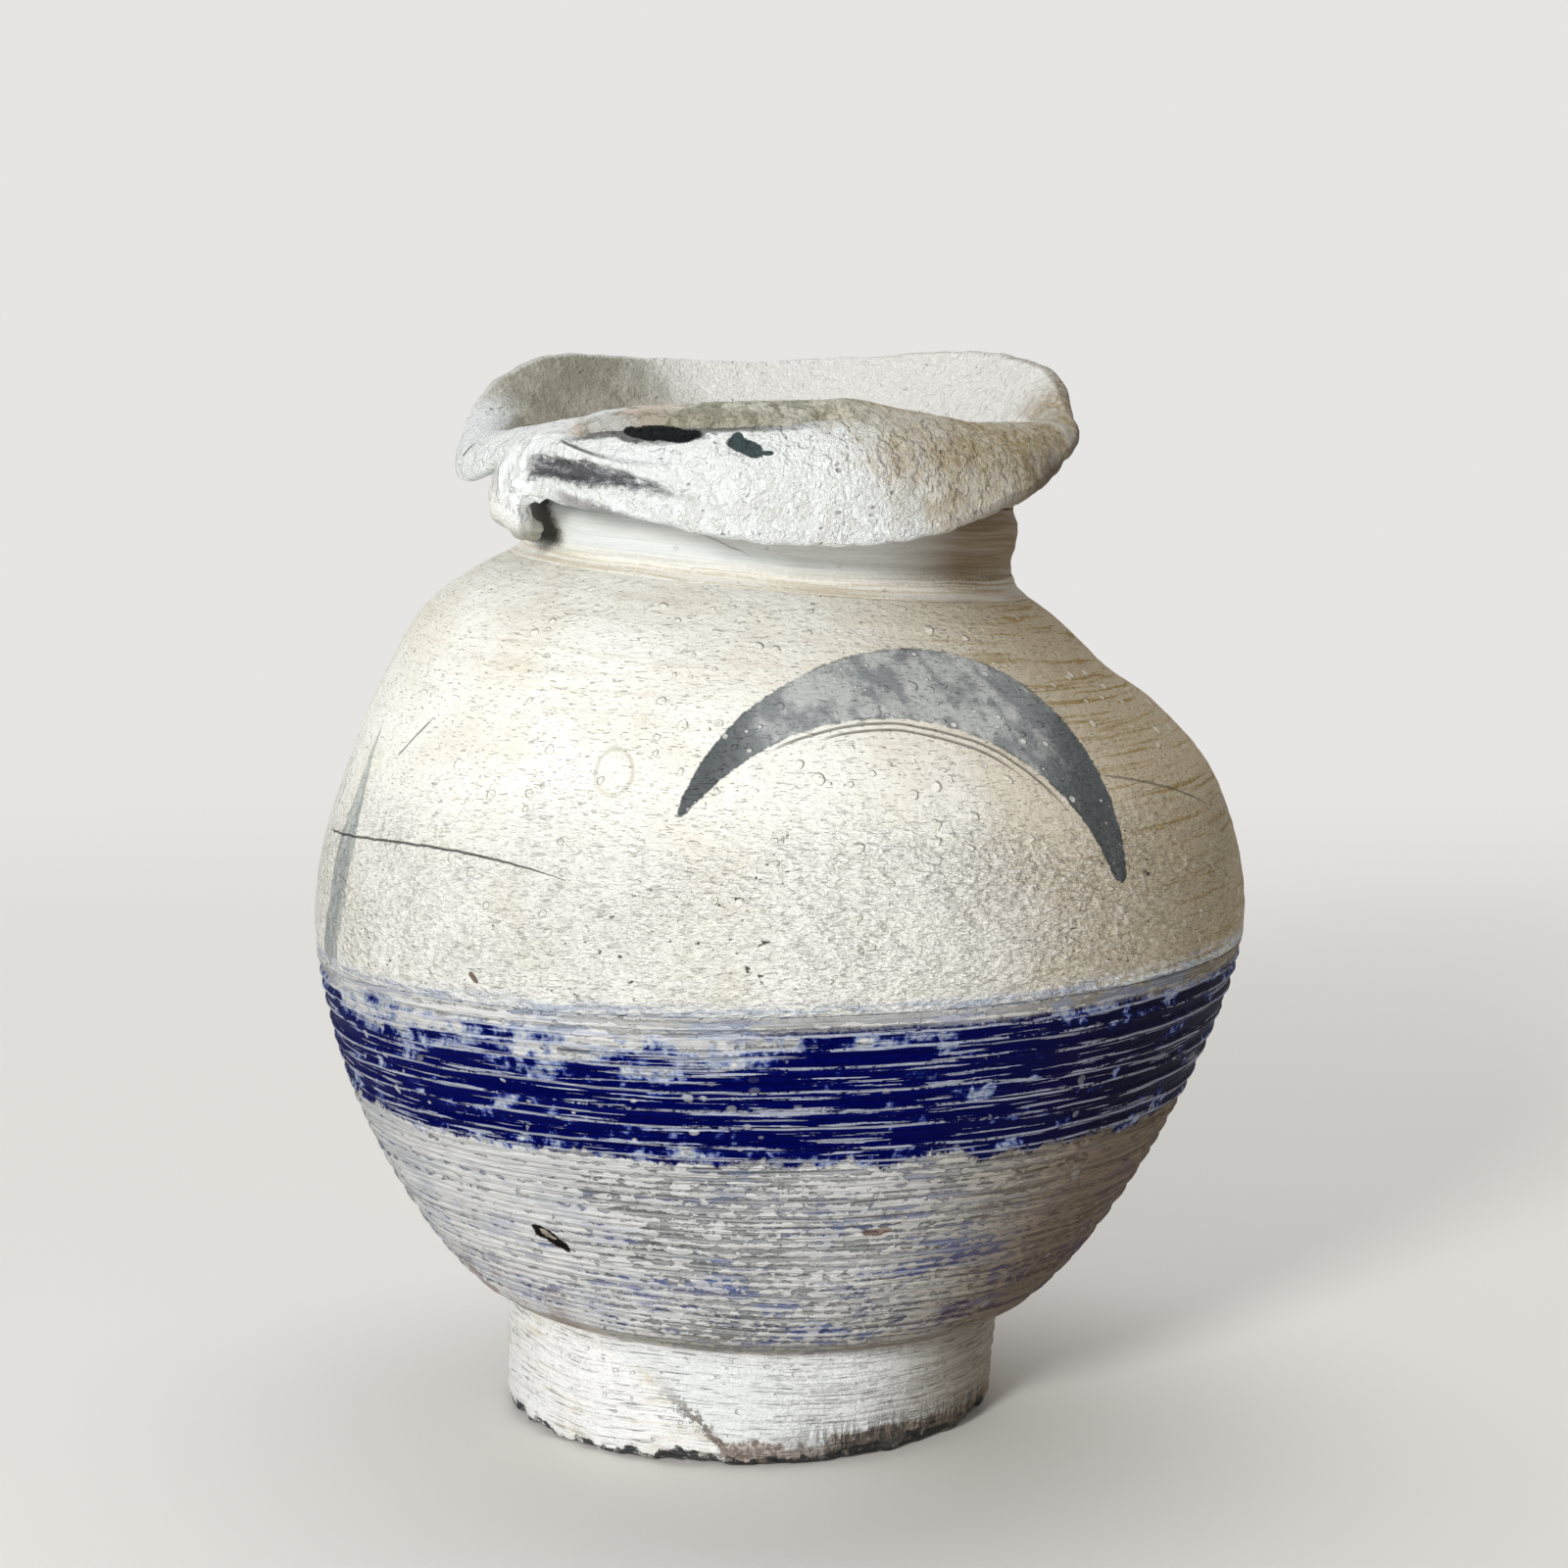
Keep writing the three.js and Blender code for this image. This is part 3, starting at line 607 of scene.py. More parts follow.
def footMaterial(values):
    tree, here, f = startMaterial("white slip foot", 1.5, 0.25, 0.3, 0.5,
                                  values["throw"]["Ring Pitch"], 1.3)
    tones = painted(values["tones"])
    turn, rise = f["Turn"], f["Rise"]
    rough, blotch = f["Rough"], noise(here, 60, 4.0, 0.6)
    colour = mix(tones["cream"], tones["white"], ramp(blotch + (f["Lines"] - 0.5) * 0.7, 0.3, 0.48))
    worn = ramp(f["Lines"] * 0.7 + f["Drift"] * 0.4 + rough * 0.5, 0.63, 0.72) * 0.35
    colour = mix(colour, tones["grey"], worn)
    # a cooler coat to the right of a slanting torn edge, grey further round and pinkish grey below it
    edge = turn - 243 - (24 - rise) * 1.05 + (blotch - 0.5) * 16 + rough * 6
    second = ramp(edge, -0.6, 0.8)
    colour = mix(colour, tones["coolCoat"], second * 0.75)
    border = near(edge - 2.2 + rough * 6, 0.8, 2.6) * ramp(rise, 24, 12)
    colour = mix(colour, mix(tones["edgeDark"], tones["edgePale"], ramp(blotch, 0.42, 0.58)), border * 0.85)
    further = ramp(turn + (blotch - 0.5) * 24 + rough * 5, 266, 276)
    greyCoat = mix(tones["grooves"], tones["ribs"], ramp(f["Lines"] + rough * 0.5, 0.36, 0.5))
    colour = mix(colour, greyCoat, further * 0.8)
    patch = second * fall(rise + (blotch - 0.5) * 20 + rough * 4, 6.5, 8.5)
    patch = patch * (1.0 - ramp(turn, 300, 340, 0, 0.4))
    pinkish = mix(tones["pinkDark"], tones["pinkPale"], ramp(blotch + rough, 0.45, 0.6))
    colour = mix(colour, pinkish, patch * 0.95)
    # painted shade at the top of the foot, under the bowl
    topShade = ramp(rise + rough * 8 + (blotch - 0.5) * 8, 26, 31)
    colour = mix(colour, tones["shadeUnderBowl"], topShade * 0.25)
    # painted shade: warm brown round the right side of the foot
    shadedSide = shadeRoundRight(turn, 290, 330)
    colour = mix(colour, tones["warm"], shadedSide * 0.72)
    colour = mix(colour, tones["scratch"], ramp(f["Scratches"], 0.2, 0.6) * 0.6)
    # dark clay shows where the lower edge is worn and chipped
    around = stretch(f["Wheel"], 0.05, 0.05, 0.05)
    torn = noise(stretch(f["Wheel"], 0.3, 0.3, 0.3), 1.0, 4.0, 0.7)
    grimeTop = noise(around, 1.0, 1.0) * 6 + torn * 6 - 4.6
    grime = fall(rise - grimeTop, -0.3, 0.5)
    rightGrime = plateau(turn, 272, 292, 335, 350)
    smear = fall(rise - grimeTop * 1.6 - 2.0, -0.5, 2.5) * rightGrime
    wipes = ramp(noise(stretch(f["Wheel"], 0.3, 0.3, 0.07), 1.0, 4.0, 0.7), 0.46, 0.53)
    wipes = wipes * fall(rise, 5, 14) * rightGrime
    dark = calc("MAXIMUM", grime, calc("MAXIMUM", smear, wipes) * 0.8)
    for at, width, height, _ in values["chips"]:
        one = {"At Turn": float(at), "At Rise": 0.6, "Half Width": width * 1.1, "Half Height": height * 1.1,
               "Radius": values["chipRadius"], "Ragged": 0.45}
        dark = calc("MAXIMUM", dark, markMask(tree, chip, turn, rise, one))
    broken = ramp(noise(here, 330, 3.0, 0.6), 0.36, 0.5)
    colour = mix(colour, tones["slate"], dark * (0.35 + broken * 0.6))
    height = f["Height"] + f["Lines"] * 1.1 - f["Scratches"] * 0.8 - dark * 1.0
    return finishMaterial(f, colour, 0.72 - f["Specks"] * 0.1 - dark * 0.15, height, 0.0008)


def makeFoot(values):
    turnOut = np.radians(np.linspace(-90, 0, 7))
    outer, inner = values["outerRounding"], values["innerRounding"]
    outward = np.column_stack([values["bottomRadius"] - outer + outer * np.cos(turnOut),
                               outer + outer * np.sin(turnOut)])
    bore, top = values["bore"], vase["footHeight"]
    side = spaced([outward[-1], (values["topRadius"], top)], 0.8)
    outline, skin = joined(
        ([(bore + inner, 0)], 0), (outward, 1), (side, 1),
        (spaced([(values["topRadius"] - 0.8, top), (bore, top)], 4), 0),
        (spaced([(bore, top - 0.5), (bore, inner)], 4), 0))
    piece = throwPiece("footRing", outline, skin, values["throw"], footMaterial(values))
    mesh = piece.data
    points = readPoints(mesh)
    turn, rise = wheelPlaces(mesh)
    radius = np.hypot(points[:, 0], points[:, 1])
    outside = smoothstep(59, 63, radius)
    flat = 1 - smoothstep(0, 0.2, rise)
    cut = np.zeros(len(points))
    ragged = rise - 0.8 * waves(turn, (29, 47, 83, 131), 5)
    for at, width, height, depth in values["chips"]:
        away = (turn - at + 180) % 360
        gone = spot(away, ragged, (180, 0), (width, height), 0, values["chipRadius"], 2.6)
        cut = np.maximum(cut, smoothstep(0, 0.7, gone) * depth)
    cut *= outside * (0.8 + 0.2 * waves(turn, (37, 53, 71), 6))
    scale = (radius - cut) / np.maximum(radius, 1e-6)
    points[:, :2] *= scale[:, None]
    points[:, 2] += cut * 0.25 * (1 - flat) * (1 - smoothstep(3, 8, rise))
    writePoints(mesh, points)
    return finishPiece(piece, "foot_ring")


makeFoot(footRing)

# lower bowl

lowerBowl = {
    "floor": 8.0, "spigotRadius": 55.1, "spigotDrop": 2.0, "bandLow": 92.3, "bandHigh": 127.6,
    "throw": {"Steps Round": 620, "Ring Pitch": 4.8, "Ring Depth": 0.8, "Ring Top": 131.0, "Ring Fade": 4.0,
              "Wobble": 1.1, "Peel": 0.45, "Seed": 11.0},
    "tones": {"white": "#ecedec", "wash": "#8495c8", "warm": "#6b5233", "paleBlue": "#b9c6dd",
              "cobalt": "#233a96", "deep": "#00065a", "slate": "#221e1c", "groove": "#777a7c",
              "rib": "#c4c6c6", "scratch": "#55564f", "washDeep": "#5166ad", "dabShade": "#c9bda7",
              "washBelt": "#24367e", "seamShade": "#c9c2b2", "seamBlue": "#8f9fc2", "footShade": "#a0988a",
              "pink": "#93796f", "rust": "#8a5e3c", "bandShade": "#1b1a1e", "rubbed": "#ccd3e6",
              "blob": "#eceef2", "speck": "#e6eaf2", "bareClay": "#b8ada0"},
    # broken patches: where, how big in mm, how slanting and how ragged
    "stain": {"At Turn": 286.0, "At Rise": 73.0, "Half Width": 5.0, "Half Height": 1.0, "Radius": 104.0,
              "Ragged": 0.6},
    "mark": {"At Turn": 238.7, "At Rise": 65.4, "Half Width": 4.4, "Half Height": 2.1, "Slant": -0.5,
             "Radius": 101.0, "Ragged": 0.25},
    "markCore": {"At Turn": 238.2, "At Rise": 65.8, "Half Width": 2.2, "Half Height": 1.0, "Slant": -0.5,
                 "Radius": 101.0, "Ragged": 0.2},
}


def bowlMaterial(values):
    tree, here, f = startMaterial("ridged slip with blue band", 1.6, 0.0, 0.25, 0.6,
                                  values["throw"]["Ring Pitch"], 0.9, 0.03)
    tones = painted(values["tones"])
    turn, rise, wheel = f["Turn"], f["Rise"], f["Wheel"]
    rough = f["Rough"]
    x, y, z = parts(wheel)
    crest = fall(f["Ring"], 0.05, 0.17)
    thin = useGroup(tree, wheelLines, {"Wheel": wheel, "Pitch": 2.3, "Fineness": 2.0})
    patchy = noise(stretch(wheel, 0.045, 0.045, 0.07), 1.0, 4.0, 0.65)
    dab = noise(vectorOf(x * 0.27, y * 0.27, z * 0.5), 1.0, 4.0, 0.58)
    leftward = plateau(turn, 196, 206, 232, 262)
    dabs = ramp(dab + (patchy - 0.5) * 0.4 - thin["Ring"] * 0.4 + rough * 0.2 + leftward * 0.17, 0.37, 0.42)
    # dabs of white slip on grey ribs, with painted shade making them warmer round to the right
    white = tones["white"]
    right = shadeRoundRight(turn, 280, 322)
    ribs = ramp(thin["Lines"] + rough * 0.3 + (patchy - 0.5) * 0.3, 0.38, 0.56)
    colour = mix(tones["groove"], tones["rib"], ribs)
    colour = mix(colour, tones["scratch"], ramp(thin["Scratches"], 0.3, 0.9) * 0.4)
    washField = noise(stretch(moved(wheel, 0, 0, 31), 0.04, 0.04, 0.1), 1.0, 4.0, 0.65)
    washField = ramp(washField + (f["Lines"] - 0.5) * 0.4, 0.5, 0.6)
    wash = mix(tones["wash"], tones["washDeep"], ramp(thin["Lines"], 0.56, 0.44))
    colour = mix(colour, wash, washField * (0.3 + ramp(rise, 92, 60, 0, 0.5)))
    deepWash = noise(stretch(moved(wheel, 40, 0, 9), 0.07, 0.07, 0.22), 1.0, 4.0, 0.65)
    deepWash = ramp(deepWash + rough * 0.3, 0.57, 0.65)
    lowBelt = plateau(rise, 34, 39, 50, 70)
    colour = mix(colour, mix(white, tones["dabShade"], right * 0.7), dabs * (0.95 - washField * 0.25))
    colour = mix(colour, tones["washBelt"], deepWash * (lowBelt * 0.75 + 0.15) * (1.0 - dabs * 0.4))
    # painted shade: warm brown round the right side of the bowl
    colour = mix(colour, tones["warm"], right * 0.72)
    upper = ramp(rise, 123.5, 127.5) * (1.0 - ramp(thin["Lines"] + rough * 0.3, 0.5, 0.6) * 0.6)
    colour = mix(colour, mix(white, tones["seamShade"], right), upper * (0.35 + dabs * 0.6))
    seamBlue = ramp(rise, 123, 126) * ramp(washField + thin["Scratches"] * 0.5, 0.4, 0.9)
    colour = mix(colour, tones["seamBlue"], seamBlue * 0.5)
    colour = mix(colour, white, crest * 0.3 * (1.0 - right))
    # painted shade low on the bowl, above the foot
    colour = mix(colour, tones["footShade"], fall(rise + rough * 5, 34, 40) * 0.7)
    pink = ramp(patchy + rough * 0.3, 0.44, 0.54) * fall(rise, 44, 54) * ramp(turn, 196, 206)
    colour = mix(colour, tones["pink"], pink * fall(turn, 226, 240) * 0.6)
    stain = markMask(tree, chip, turn, rise, values["stain"])
    colour = mix(colour, tones["rust"], stain * 0.6)
    # the blue band, its edges broken by the brush
    lowWave = noise(stretch(wheel, 0.09, 0.09, 0.02), 1.0, 4.0, 0.65) - 0.5
    highWave = noise(stretch(wheel, 0.05, 0.05, 0.05), 1.0, 3.0) - 0.5
    reachLow = rise - values["bandLow"] + lowWave * 15 + rough * 4
    reachHigh = values["bandHigh"] - rise + highWave * 3 + rough * 3
    band = ramp(reachLow, -0.6, 0.8) * ramp(reachHigh, -1.0, 1.2)
    left = plateau(turn, 195, 205, 256, 276)
    # each groove took the brush for itself, in blocks with skips between them
    row = f["Row"] * 37
    strokes = noise(vectorOf(x * 0.062, y * 0.062, z * 0.09 + row), 1.0, 3.0, 0.62)
    skips = noise(vectorOf(x * 0.24, y * 0.24, z * 0.16), 1.0, 2.0, 0.6)
    cover = (strokes + (skips - 0.5) * 0.5 + (thin["Lines"] - 0.5) * 0.2 + rough * 0.2
             + ramp(reachHigh, 0, 9, -0.13, 0.05) + ramp(reachLow, 0, 6, -0.08, 0.03)
             - left * (0.045 + ramp(reachHigh, 18, 5) * 0.11))
    strong = ramp(cover, 0.41, 0.46)
    blue = mix(tones["paleBlue"], tones["cobalt"], ramp(cover, 0.32, 0.44))
    blue = mix(blue, tones["deep"], strong)
    # painted shade: the band goes near black round the right
    blue = mix(blue, tones["bandShade"], right * strong * 0.75)
    colour = mix(colour, blue, band * ramp(cover, 0.27, 0.35))
    fineRubs = noise(vectorOf(x * 0.045, y * 0.045, z * 1.05 + 9), 1.0, 3.0, 0.55)
    fineRubs = ramp(fineRubs + rough * 0.12, 0.59, 0.62)
    sharp = fall(f["Ring"], 0.03, 0.1)
    rubbed = sharp * ramp(noise(stretch(wheel, 0.05, 0.05, 0.3), 1.0, 4.0, 0.65) + rough * 0.4, 0.42, 0.49)
    rubbed = calc("MAXIMUM", rubbed, fineRubs * 0.85) * band
    colour = mix(colour, tones["rubbed"], rubbed * (0.95 - right * 0.35))
    blobs = dots(vectorOf(x, y, z * 1.3), 0.26, 0.3) * band * left * fall(reachLow, 12, 26)
    colour = mix(colour, tones["blob"], blobs * 0.9)
    colour = mix(colour, tones["speck"], f["Specks"] * (0.25 + left * 0.4))
    mark = markMask(tree, chip, turn, rise, values["mark"])
    core = markMask(tree, chip, turn, rise, values["markCore"])
    colour = mix(mix(colour, tones["slate"], mark), tones["bareClay"], core)
    height = (f["Height"] * 0.6 + thin["Lines"] * 1.6 + dabs * (1.3 - band * 0.8)
              - thin["Ring"] * 2.0 - mark * 1.5)
    roughness = 0.74 - band * strong * 0.22 + f["Specks"] * 0.05
    return finishMaterial(f, bareInside(tree, here, colour), roughness, height, 0.0012)


def makeBowl(values):
    seamRadius = np.interp(vase["seam"], bowlCurve[:, 1], bowlCurve[:, 0])
    bore = seamRadius - vase["wall"]
    tongue = bore + vase["tongueThickness"]
    floorTop = vase["seat"] + values["floor"]
    outside = spaced(between(bowlCurve, vase["seat"], vase["seam"]), 0.95)
    within = walled(bowlCurve, vase["wall"])
    within = within[(within[:, 1] > floorTop) & (within[:, 1] < vase["seam"])]
    within = spaced(within, 5)[::-1]
    top = vase["seam"] + vase["tongueRise"]
    spigot, spigotEnd = values["spigotRadius"], vase["seat"] - values["spigotDrop"]
    outline, skin = joined(
        ([(0, spigotEnd), (spigot, spigotEnd), (spigot, vase["seat"]), (68.2, vase["seat"])], 0),
        (outside, 1), ([(tongue, vase["seam"]), (tongue, top), (bore, top)], 0), (within, 0),
        ([(within[-1][0] - 6, floorTop), (0, floorTop)], 0))
    skin[np.argmin(np.abs(outline - outside[0]).sum(1))] = 0.0
    piece = throwPiece("lowerBowl", outline, skin, values["throw"], bowlMaterial(values))
    mesh = piece.data
    points, normals = readPoints(mesh), readNormals(mesh)
    turn, rise = wheelPlaces(mesh)
    outer = np.hypot(points[:, 0], points[:, 1]) > np.interp(rise, bowlCurve[:, 1], bowlCurve[:, 0]) - 3
    at = values["mark"]["At Turn"], values["mark"]["At Rise"]
    dent = smoothstep(0, 1, spot(turn, rise, at, (5.0, 1.8), -26, 101)) * 0.9
    inward = np.sign(np.einsum("ij,ij->i", normals[:, :2], points[:, :2]))
    points -= normals * (dent * outer * inward)[:, None]
    writePoints(mesh, points)
    return finishPiece(piece, "lower_bowl")


makeBowl(lowerBowl)

# shoulder dome

shoulderDome = {
    "rebateDepth": 3.0, "rebateWidth": 2.4,
    "throw": {"Steps Round": 620, "Ring Pitch": 6.5, "Ring Depth": 0.12, "Ring Top": 300.0,
              "Ring Fade": 10.0, "Wobble": 1.3, "Peel": 0.55, "Seed": 23.0},
    # crescent on the front, in mm across and up as seen from the front
    "frontArc": {"Outer Across": 29.2, "Outer Up": 158.6, "Outer Radius": 57.0,
                 "Inner Across": 23.7, "Inner Up": 136.6, "Inner Radius": 63.5},
    "tones": {"light": "#f4f4ee", "cream": "#ebe8dd", "warm": "#98804f", "slate": "#858b8e",
              "milky": "#c1c4c4", "tip": "#3d4448", "line": "#6d6459", "scratch": "#85765e",
              "stroke": "#8f8c82", "scale": "#f6f4ea", "hollow": "#8b8376", "raised": "#fcfbf7",
              "pit": "#3a3630", "cloud": "#3b4144", "spot": "#d9dbd8", "edge": "#2d3235",
              "bladeDark": "#98a0a1", "bladePale": "#c3c8c4", "streak": "#3d3026", "crack": "#3a3c3d",
              "nick": "#6e5a4c", "pock": "#f3f2ec", "pockEdge": "#a9a291", "fringe": "#e4e8ea",
              "fringeBlue": "#9aa8c4"},
    "incised": [(-1.1, -4, 74), (-2.6, 8, 62)],  # distance from the crescent, from and to in mm across
    "pock": (250.1, 187.5),  # turn and rise
    "nick": {"At Turn": 234.0, "At Rise": 137.6, "Half Width": 1.7, "Half Height": 1.0, "Slant": -0.6,
             "Radius": 127.0, "Ragged": 0.5},
    "cracks": [  # start, end, level, slope, bend, twist, width, strength
        (193.0, 245.5, 165.2, 3.2, 14.5, -19.8, 0.26, 0.85), (211.5, 217.4, 186.0, 8.6, 0.0, 0.0, 0.3, 0.6),
        (316.5, 339.0, 183.6, -9.5, -4.5, 0.0, 0.3, 0.5)],
}


def domeMaterial(values):
    tree, here, f = startMaterial("cream slip with grey crescents", 1.7, 0.16, 0.9, 0.5,
                                  values["throw"]["Ring Pitch"], 0.75)
    tones = painted(values["tones"])
    turn, rise, rough = f["Turn"], f["Rise"], f["Rough"]
    x, y, z = parts(stretch(here, 1000, 1000, 1000))
    blotch = noise(here, 28, 3.0, 0.6)
    shoulder = ramp(rise, 180, 214)
    low = ramp(rise + (blotch - 0.5) * 40, 188, 160)
    # painted shade: creamier and warm brown round the right side; the tan brush lines are the slip's own
    right = shadeRoundRight(turn, 280, 330)
    colour = mix(tones["light"], tones["cream"], ramp(blotch + right * 0.3 + shoulder * 0.1, 0.44, 0.66))
    brushed = ramp(f["Lines"] + rough * 0.25, 0.52, 0.66)
    colour = mix(colour, tones["warm"], brushed * (0.04 + shoulder * 0.1 + right * 0.25) + right * 0.66)
    colour = mix(colour, tones["scratch"], f["Scratches"] * (0.06 + shoulder * 0.12 + right * 0.3))
    # short strokes left by a dry brush
    strokes = ramp(noise(stretch(here, 420, 420, 3200), 1.0, 2.0, 0.6), 0.62, 0.72)
    colour = mix(colour, tones["stroke"], strokes * (0.26 - low * 0.14))
    clusters = ramp(noise(here, 22, 3.0, 0.6), 0.43, 0.52)
    scales = f["Specks"] * clusters * (1.0 - ramp(turn, 215, 235, 0.8, 0.0))
    colour = mix(colour, tones["scale"], scales * (0.9 - right * 0.4))
    fine = noise(stretch(here, 290, 290, 800), 1.0, 3.0, 0.55)
    depth = (0.14 + low * 0.86) * ramp(noise(moved(here, 0.3, 0, 0), 46, 2.0), 0.38, 0.6, 0.75, 1.0)
    # painted shade in the dips of the fine grain and painted highlight on its raised tops
    colour = mix(colour, tones["hollow"], ramp(fine, 0.42, 0.35) * depth * (0.24 + right * 0.2))
    colour = mix(colour, tones["raised"], ramp(fine, 0.54, 0.6) * depth * (0.7 - right * 0.6))
    pits = ramp(noise(stretch(here, 330, 330, 560), 1.0, 3.0, 0.65), 0.665, 0.69)
    pits = pits * low * ramp(noise(moved(here, 0, 0.2, 0), 19, 1.0), 0.46, 0.56)
    colour = mix(colour, tones["pit"], pits * 0.9)
    # grey crescent, darkest at its tips
    front = ramp(y, -20, -40)
    arc = useGroup(tree, brushedArc, {"Across": x, "Up": z, **values["frontArc"]})
    inside = arc["Inside"] + ramp(x, 6, -20) * 0.9
    ends = calc("MAXIMUM", (z - 177.8) * 0.8, (x - 30) * 0.8)  # the brush was set down and lifted bluntly
    ends = calc("MINIMUM", ends, calc("MAXIMUM", (z - 158.3) * 0.8, (55 - x) * 0.8))
    inside = calc("SMOOTH_MIN", inside, ends, 2.0) + rough * 1.2
    mask = ramp(inside, -0.1, 0.3) * front
    tips = ramp(calc("ABSOLUTE", x - 29), 18, 50)
    streaks = noise(stretch(here, 1000, 1000, 330), 0.15, 4.0, 0.6)
    milk = ramp(streaks + (blotch - 0.5) * 0.4 + (0.12 - tips * 0.2), 0.48, 0.7)
    grey = mix(tones["slate"], tones["milky"], milk * 0.9)
    grey = mix(grey, tones["tip"], ramp(tips + rough * 0.5, 0.3, 1.0) * 0.85)
    grey = mix(grey, tones["cloud"], ramp(blotch + rough * 0.5, 0.54, 0.72) * 0.5)
    spotted = dots(moved(stretch(here, 1000, 1000, 1000), 7, 0, 0), 0.34, 0.45)
    grey = mix(grey, tones["spot"], spotted * (0.95 - tips * 0.3))
    colour = mix(colour, grey, mask * 0.97)
    edge = near(inside - 0.1, 0.1, 0.45) * front * ramp(inside, -0.4, 0.0)
    colour = mix(colour, tones["edge"], edge * 0.5 * ramp(noise(here, 300, 2.0), 0.42, 0.58))
    incised = 0.0 * rise
    for at, lowX, highX in values["incised"]:
        line = near(arc["From Inner"] - at + (noise(here, 45, 2.0) - 0.5) * 1.4, 0.1, 0.34)
        incised = calc("MAXIMUM", incised, line * ramp(x, lowX, lowX + 8) * fall(x, highX - 10, highX))
    incised = incised * front * ramp(z, 150, 160)
    colour = mix(colour, tones["line"], incised * 0.7)
    # pale blade of the next crescent, at the left
    bladeHalf = calc("MINIMUM", (193.0 - rise) * 0.115, 3.2)
    bladeMid = 202.6 + ramp(rise, 192, 160, 0, 1.5) - ramp(rise, 150, 132, 0, 2.4)
    blade = ramp(bladeHalf - calc("ABSOLUTE", turn - bladeMid) + rough * 0.4, -0.1, 0.35)
    bladeTone = mix(tones["bladeDark"], tones["bladePale"], ramp(streaks, 0.42, 0.62))
    colour = mix(colour, bladeTone, blade * 0.85)
    # dark streak low at the right
    streak = ramp(1.1 - calc("ABSOLUTE", turn - 350.6 + (rise - 140) * 0.05) + rough * 0.8, 0.0, 0.5)
    streak = streak * ramp(rise, 130, 134) * fall(rise, 146, 154)
    colour = mix(colour, tones["streak"], streak * 0.9)
    # fine marks
    marks = 0.0 * rise
    keys = ("Start", "End", "Level", "Slope", "Bend", "Twist", "Width")
    for crackValues in values["cracks"]:
        one = markMask(tree, crack, turn, rise, dict(zip(keys, crackValues)))
        marks = calc("MAXIMUM", marks, one * crackValues[7])
    colour = mix(colour, tones["crack"], marks)
    nick = markMask(tree, chip, turn, rise, values["nick"])
    colour = mix(colour, tones["nick"], nick * 0.9)
    pockTurn, pockRise = values["pock"]
    pockX = (turn - pockTurn) * 1.96  # mm per degree at this height
    pockAway = calc("SQRT", calc("POWER", pockX, 2.0) + calc("POWER", rise - pockRise, 2.0))
    pock = fall(pockAway, 4.0, 5.4)
    pockEdge = near(pockAway - 4.9, 0.2, 0.9)
    colour = mix(colour, tones["pock"], pock * 0.35)
    colour = mix(colour, tones["pockEdge"], pockEdge * 0.3)
    # fringe of white and blue slip over the seam
    fringe = fall(rise + (f["Lines"] - 0.5) * 6 + rough * 4, 132.2, 136.0)
    colour = mix(colour, tones["fringe"], fringe * ramp(fine + rough * 0.3, 0.4, 0.52, 0.25, 0.85))
    blueFringe = ramp(noise(stretch(f["Wheel"], 0.08, 0.08, 0.9), 1.0, 4.0, 0.65) + rough * 0.3, 0.46, 0.58)
    colour = mix(colour, tones["fringeBlue"], fringe * blueFringe * 0.65)
    height = (f["Lump"] * 0.45 + rough * (0.3 + low * 0.25) + scales * 0.6 + fine * depth * 3.8
              - pits * 1.4 - strokes * 0.4 + f["Lines"] * (0.1 + right * 0.2) - marks * 0.9
              - incised * 0.6 - nick * 1.2 + pock * 0.4 + spotted * mask * 0.5)
    return finishMaterial(f, bareInside(tree, here, colour), 0.8 - mask * 0.22, height, 0.0011)


def makeDome(values):
    seamLevel = vase["seam"] + vase["gap"]
    seamRadius = np.interp(vase["seam"], bowlCurve[:, 1], bowlCurve[:, 0])
    bore = seamRadius - vase["wall"]
    tongue = bore + vase["tongueThickness"] + vase["gap"]
    rebate = vase["neckBore"] + values["rebateWidth"]
    outside = spaced(between(bellyCurve, seamLevel, vase["shoulder"]), 1.0)
    within = walled(domeCurve, vase["wall"])
    within = within[(within[:, 0] > rebate) & (within[:, 1] < vase["shoulder"])]
    within = spaced(within, 5)[::-1]
    step = vase["shoulder"] - values["rebateDepth"]
    outline, skin = joined(
        ([(tongue, seamLevel)], 0), (outside, 1),
        ([(rebate, vase["shoulder"]), (rebate, step), (vase["neckBore"], step)], 0), (within, 0),
        ([(bore, seamLevel + vase["tongueRise"]), (tongue, seamLevel + vase["tongueRise"])], 0))
    skin[np.argmin(np.abs(outline - outside[-1]).sum(1))] = 0.2
    piece = throwPiece("shoulderDome", outline, skin, values["throw"], domeMaterial(values))
    return finishPiece(piece, "shoulder_dome")


makeDome(shoulderDome)

# neck collar

neckCollar = {
    # the foot of the collar is smeared out over the shoulder
    "outside": [(70.8, 229.5), (68.6, 231.1), (66.9, 233.6), (65.8, 237.2), (67.7, 244.8), (66.2, 250.0)],
    "rebateDepth": 3.0, "rebateWidth": 2.4,
    "throw": {"Steps Round": 480, "Ring Pitch": 4.0, "Ring Depth": 0.25, "Ring Top": 300.0,
              "Ring Fade": 10.0, "Wobble": 0.8, "Peel": 0.3, "Seed": 31.0},
    "tones": {"white": "#e1e4e2", "cool": "#d4d9da", "warm": "#75603f", "smearPale": "#f0ede3",
              "smearDark": "#dad0bb", "scratch": "#9d978c", "crack": "#a5a39f", "hollow": "#2b2820",
              "hollowEdge": "#6a604a"},
    "crack": {"Start": 243.0, "End": 266.0, "Level": 246.5, "Slope": -6.0, "Bend": -3.0, "Twist": 0.0,
              "Width": 0.22},
}


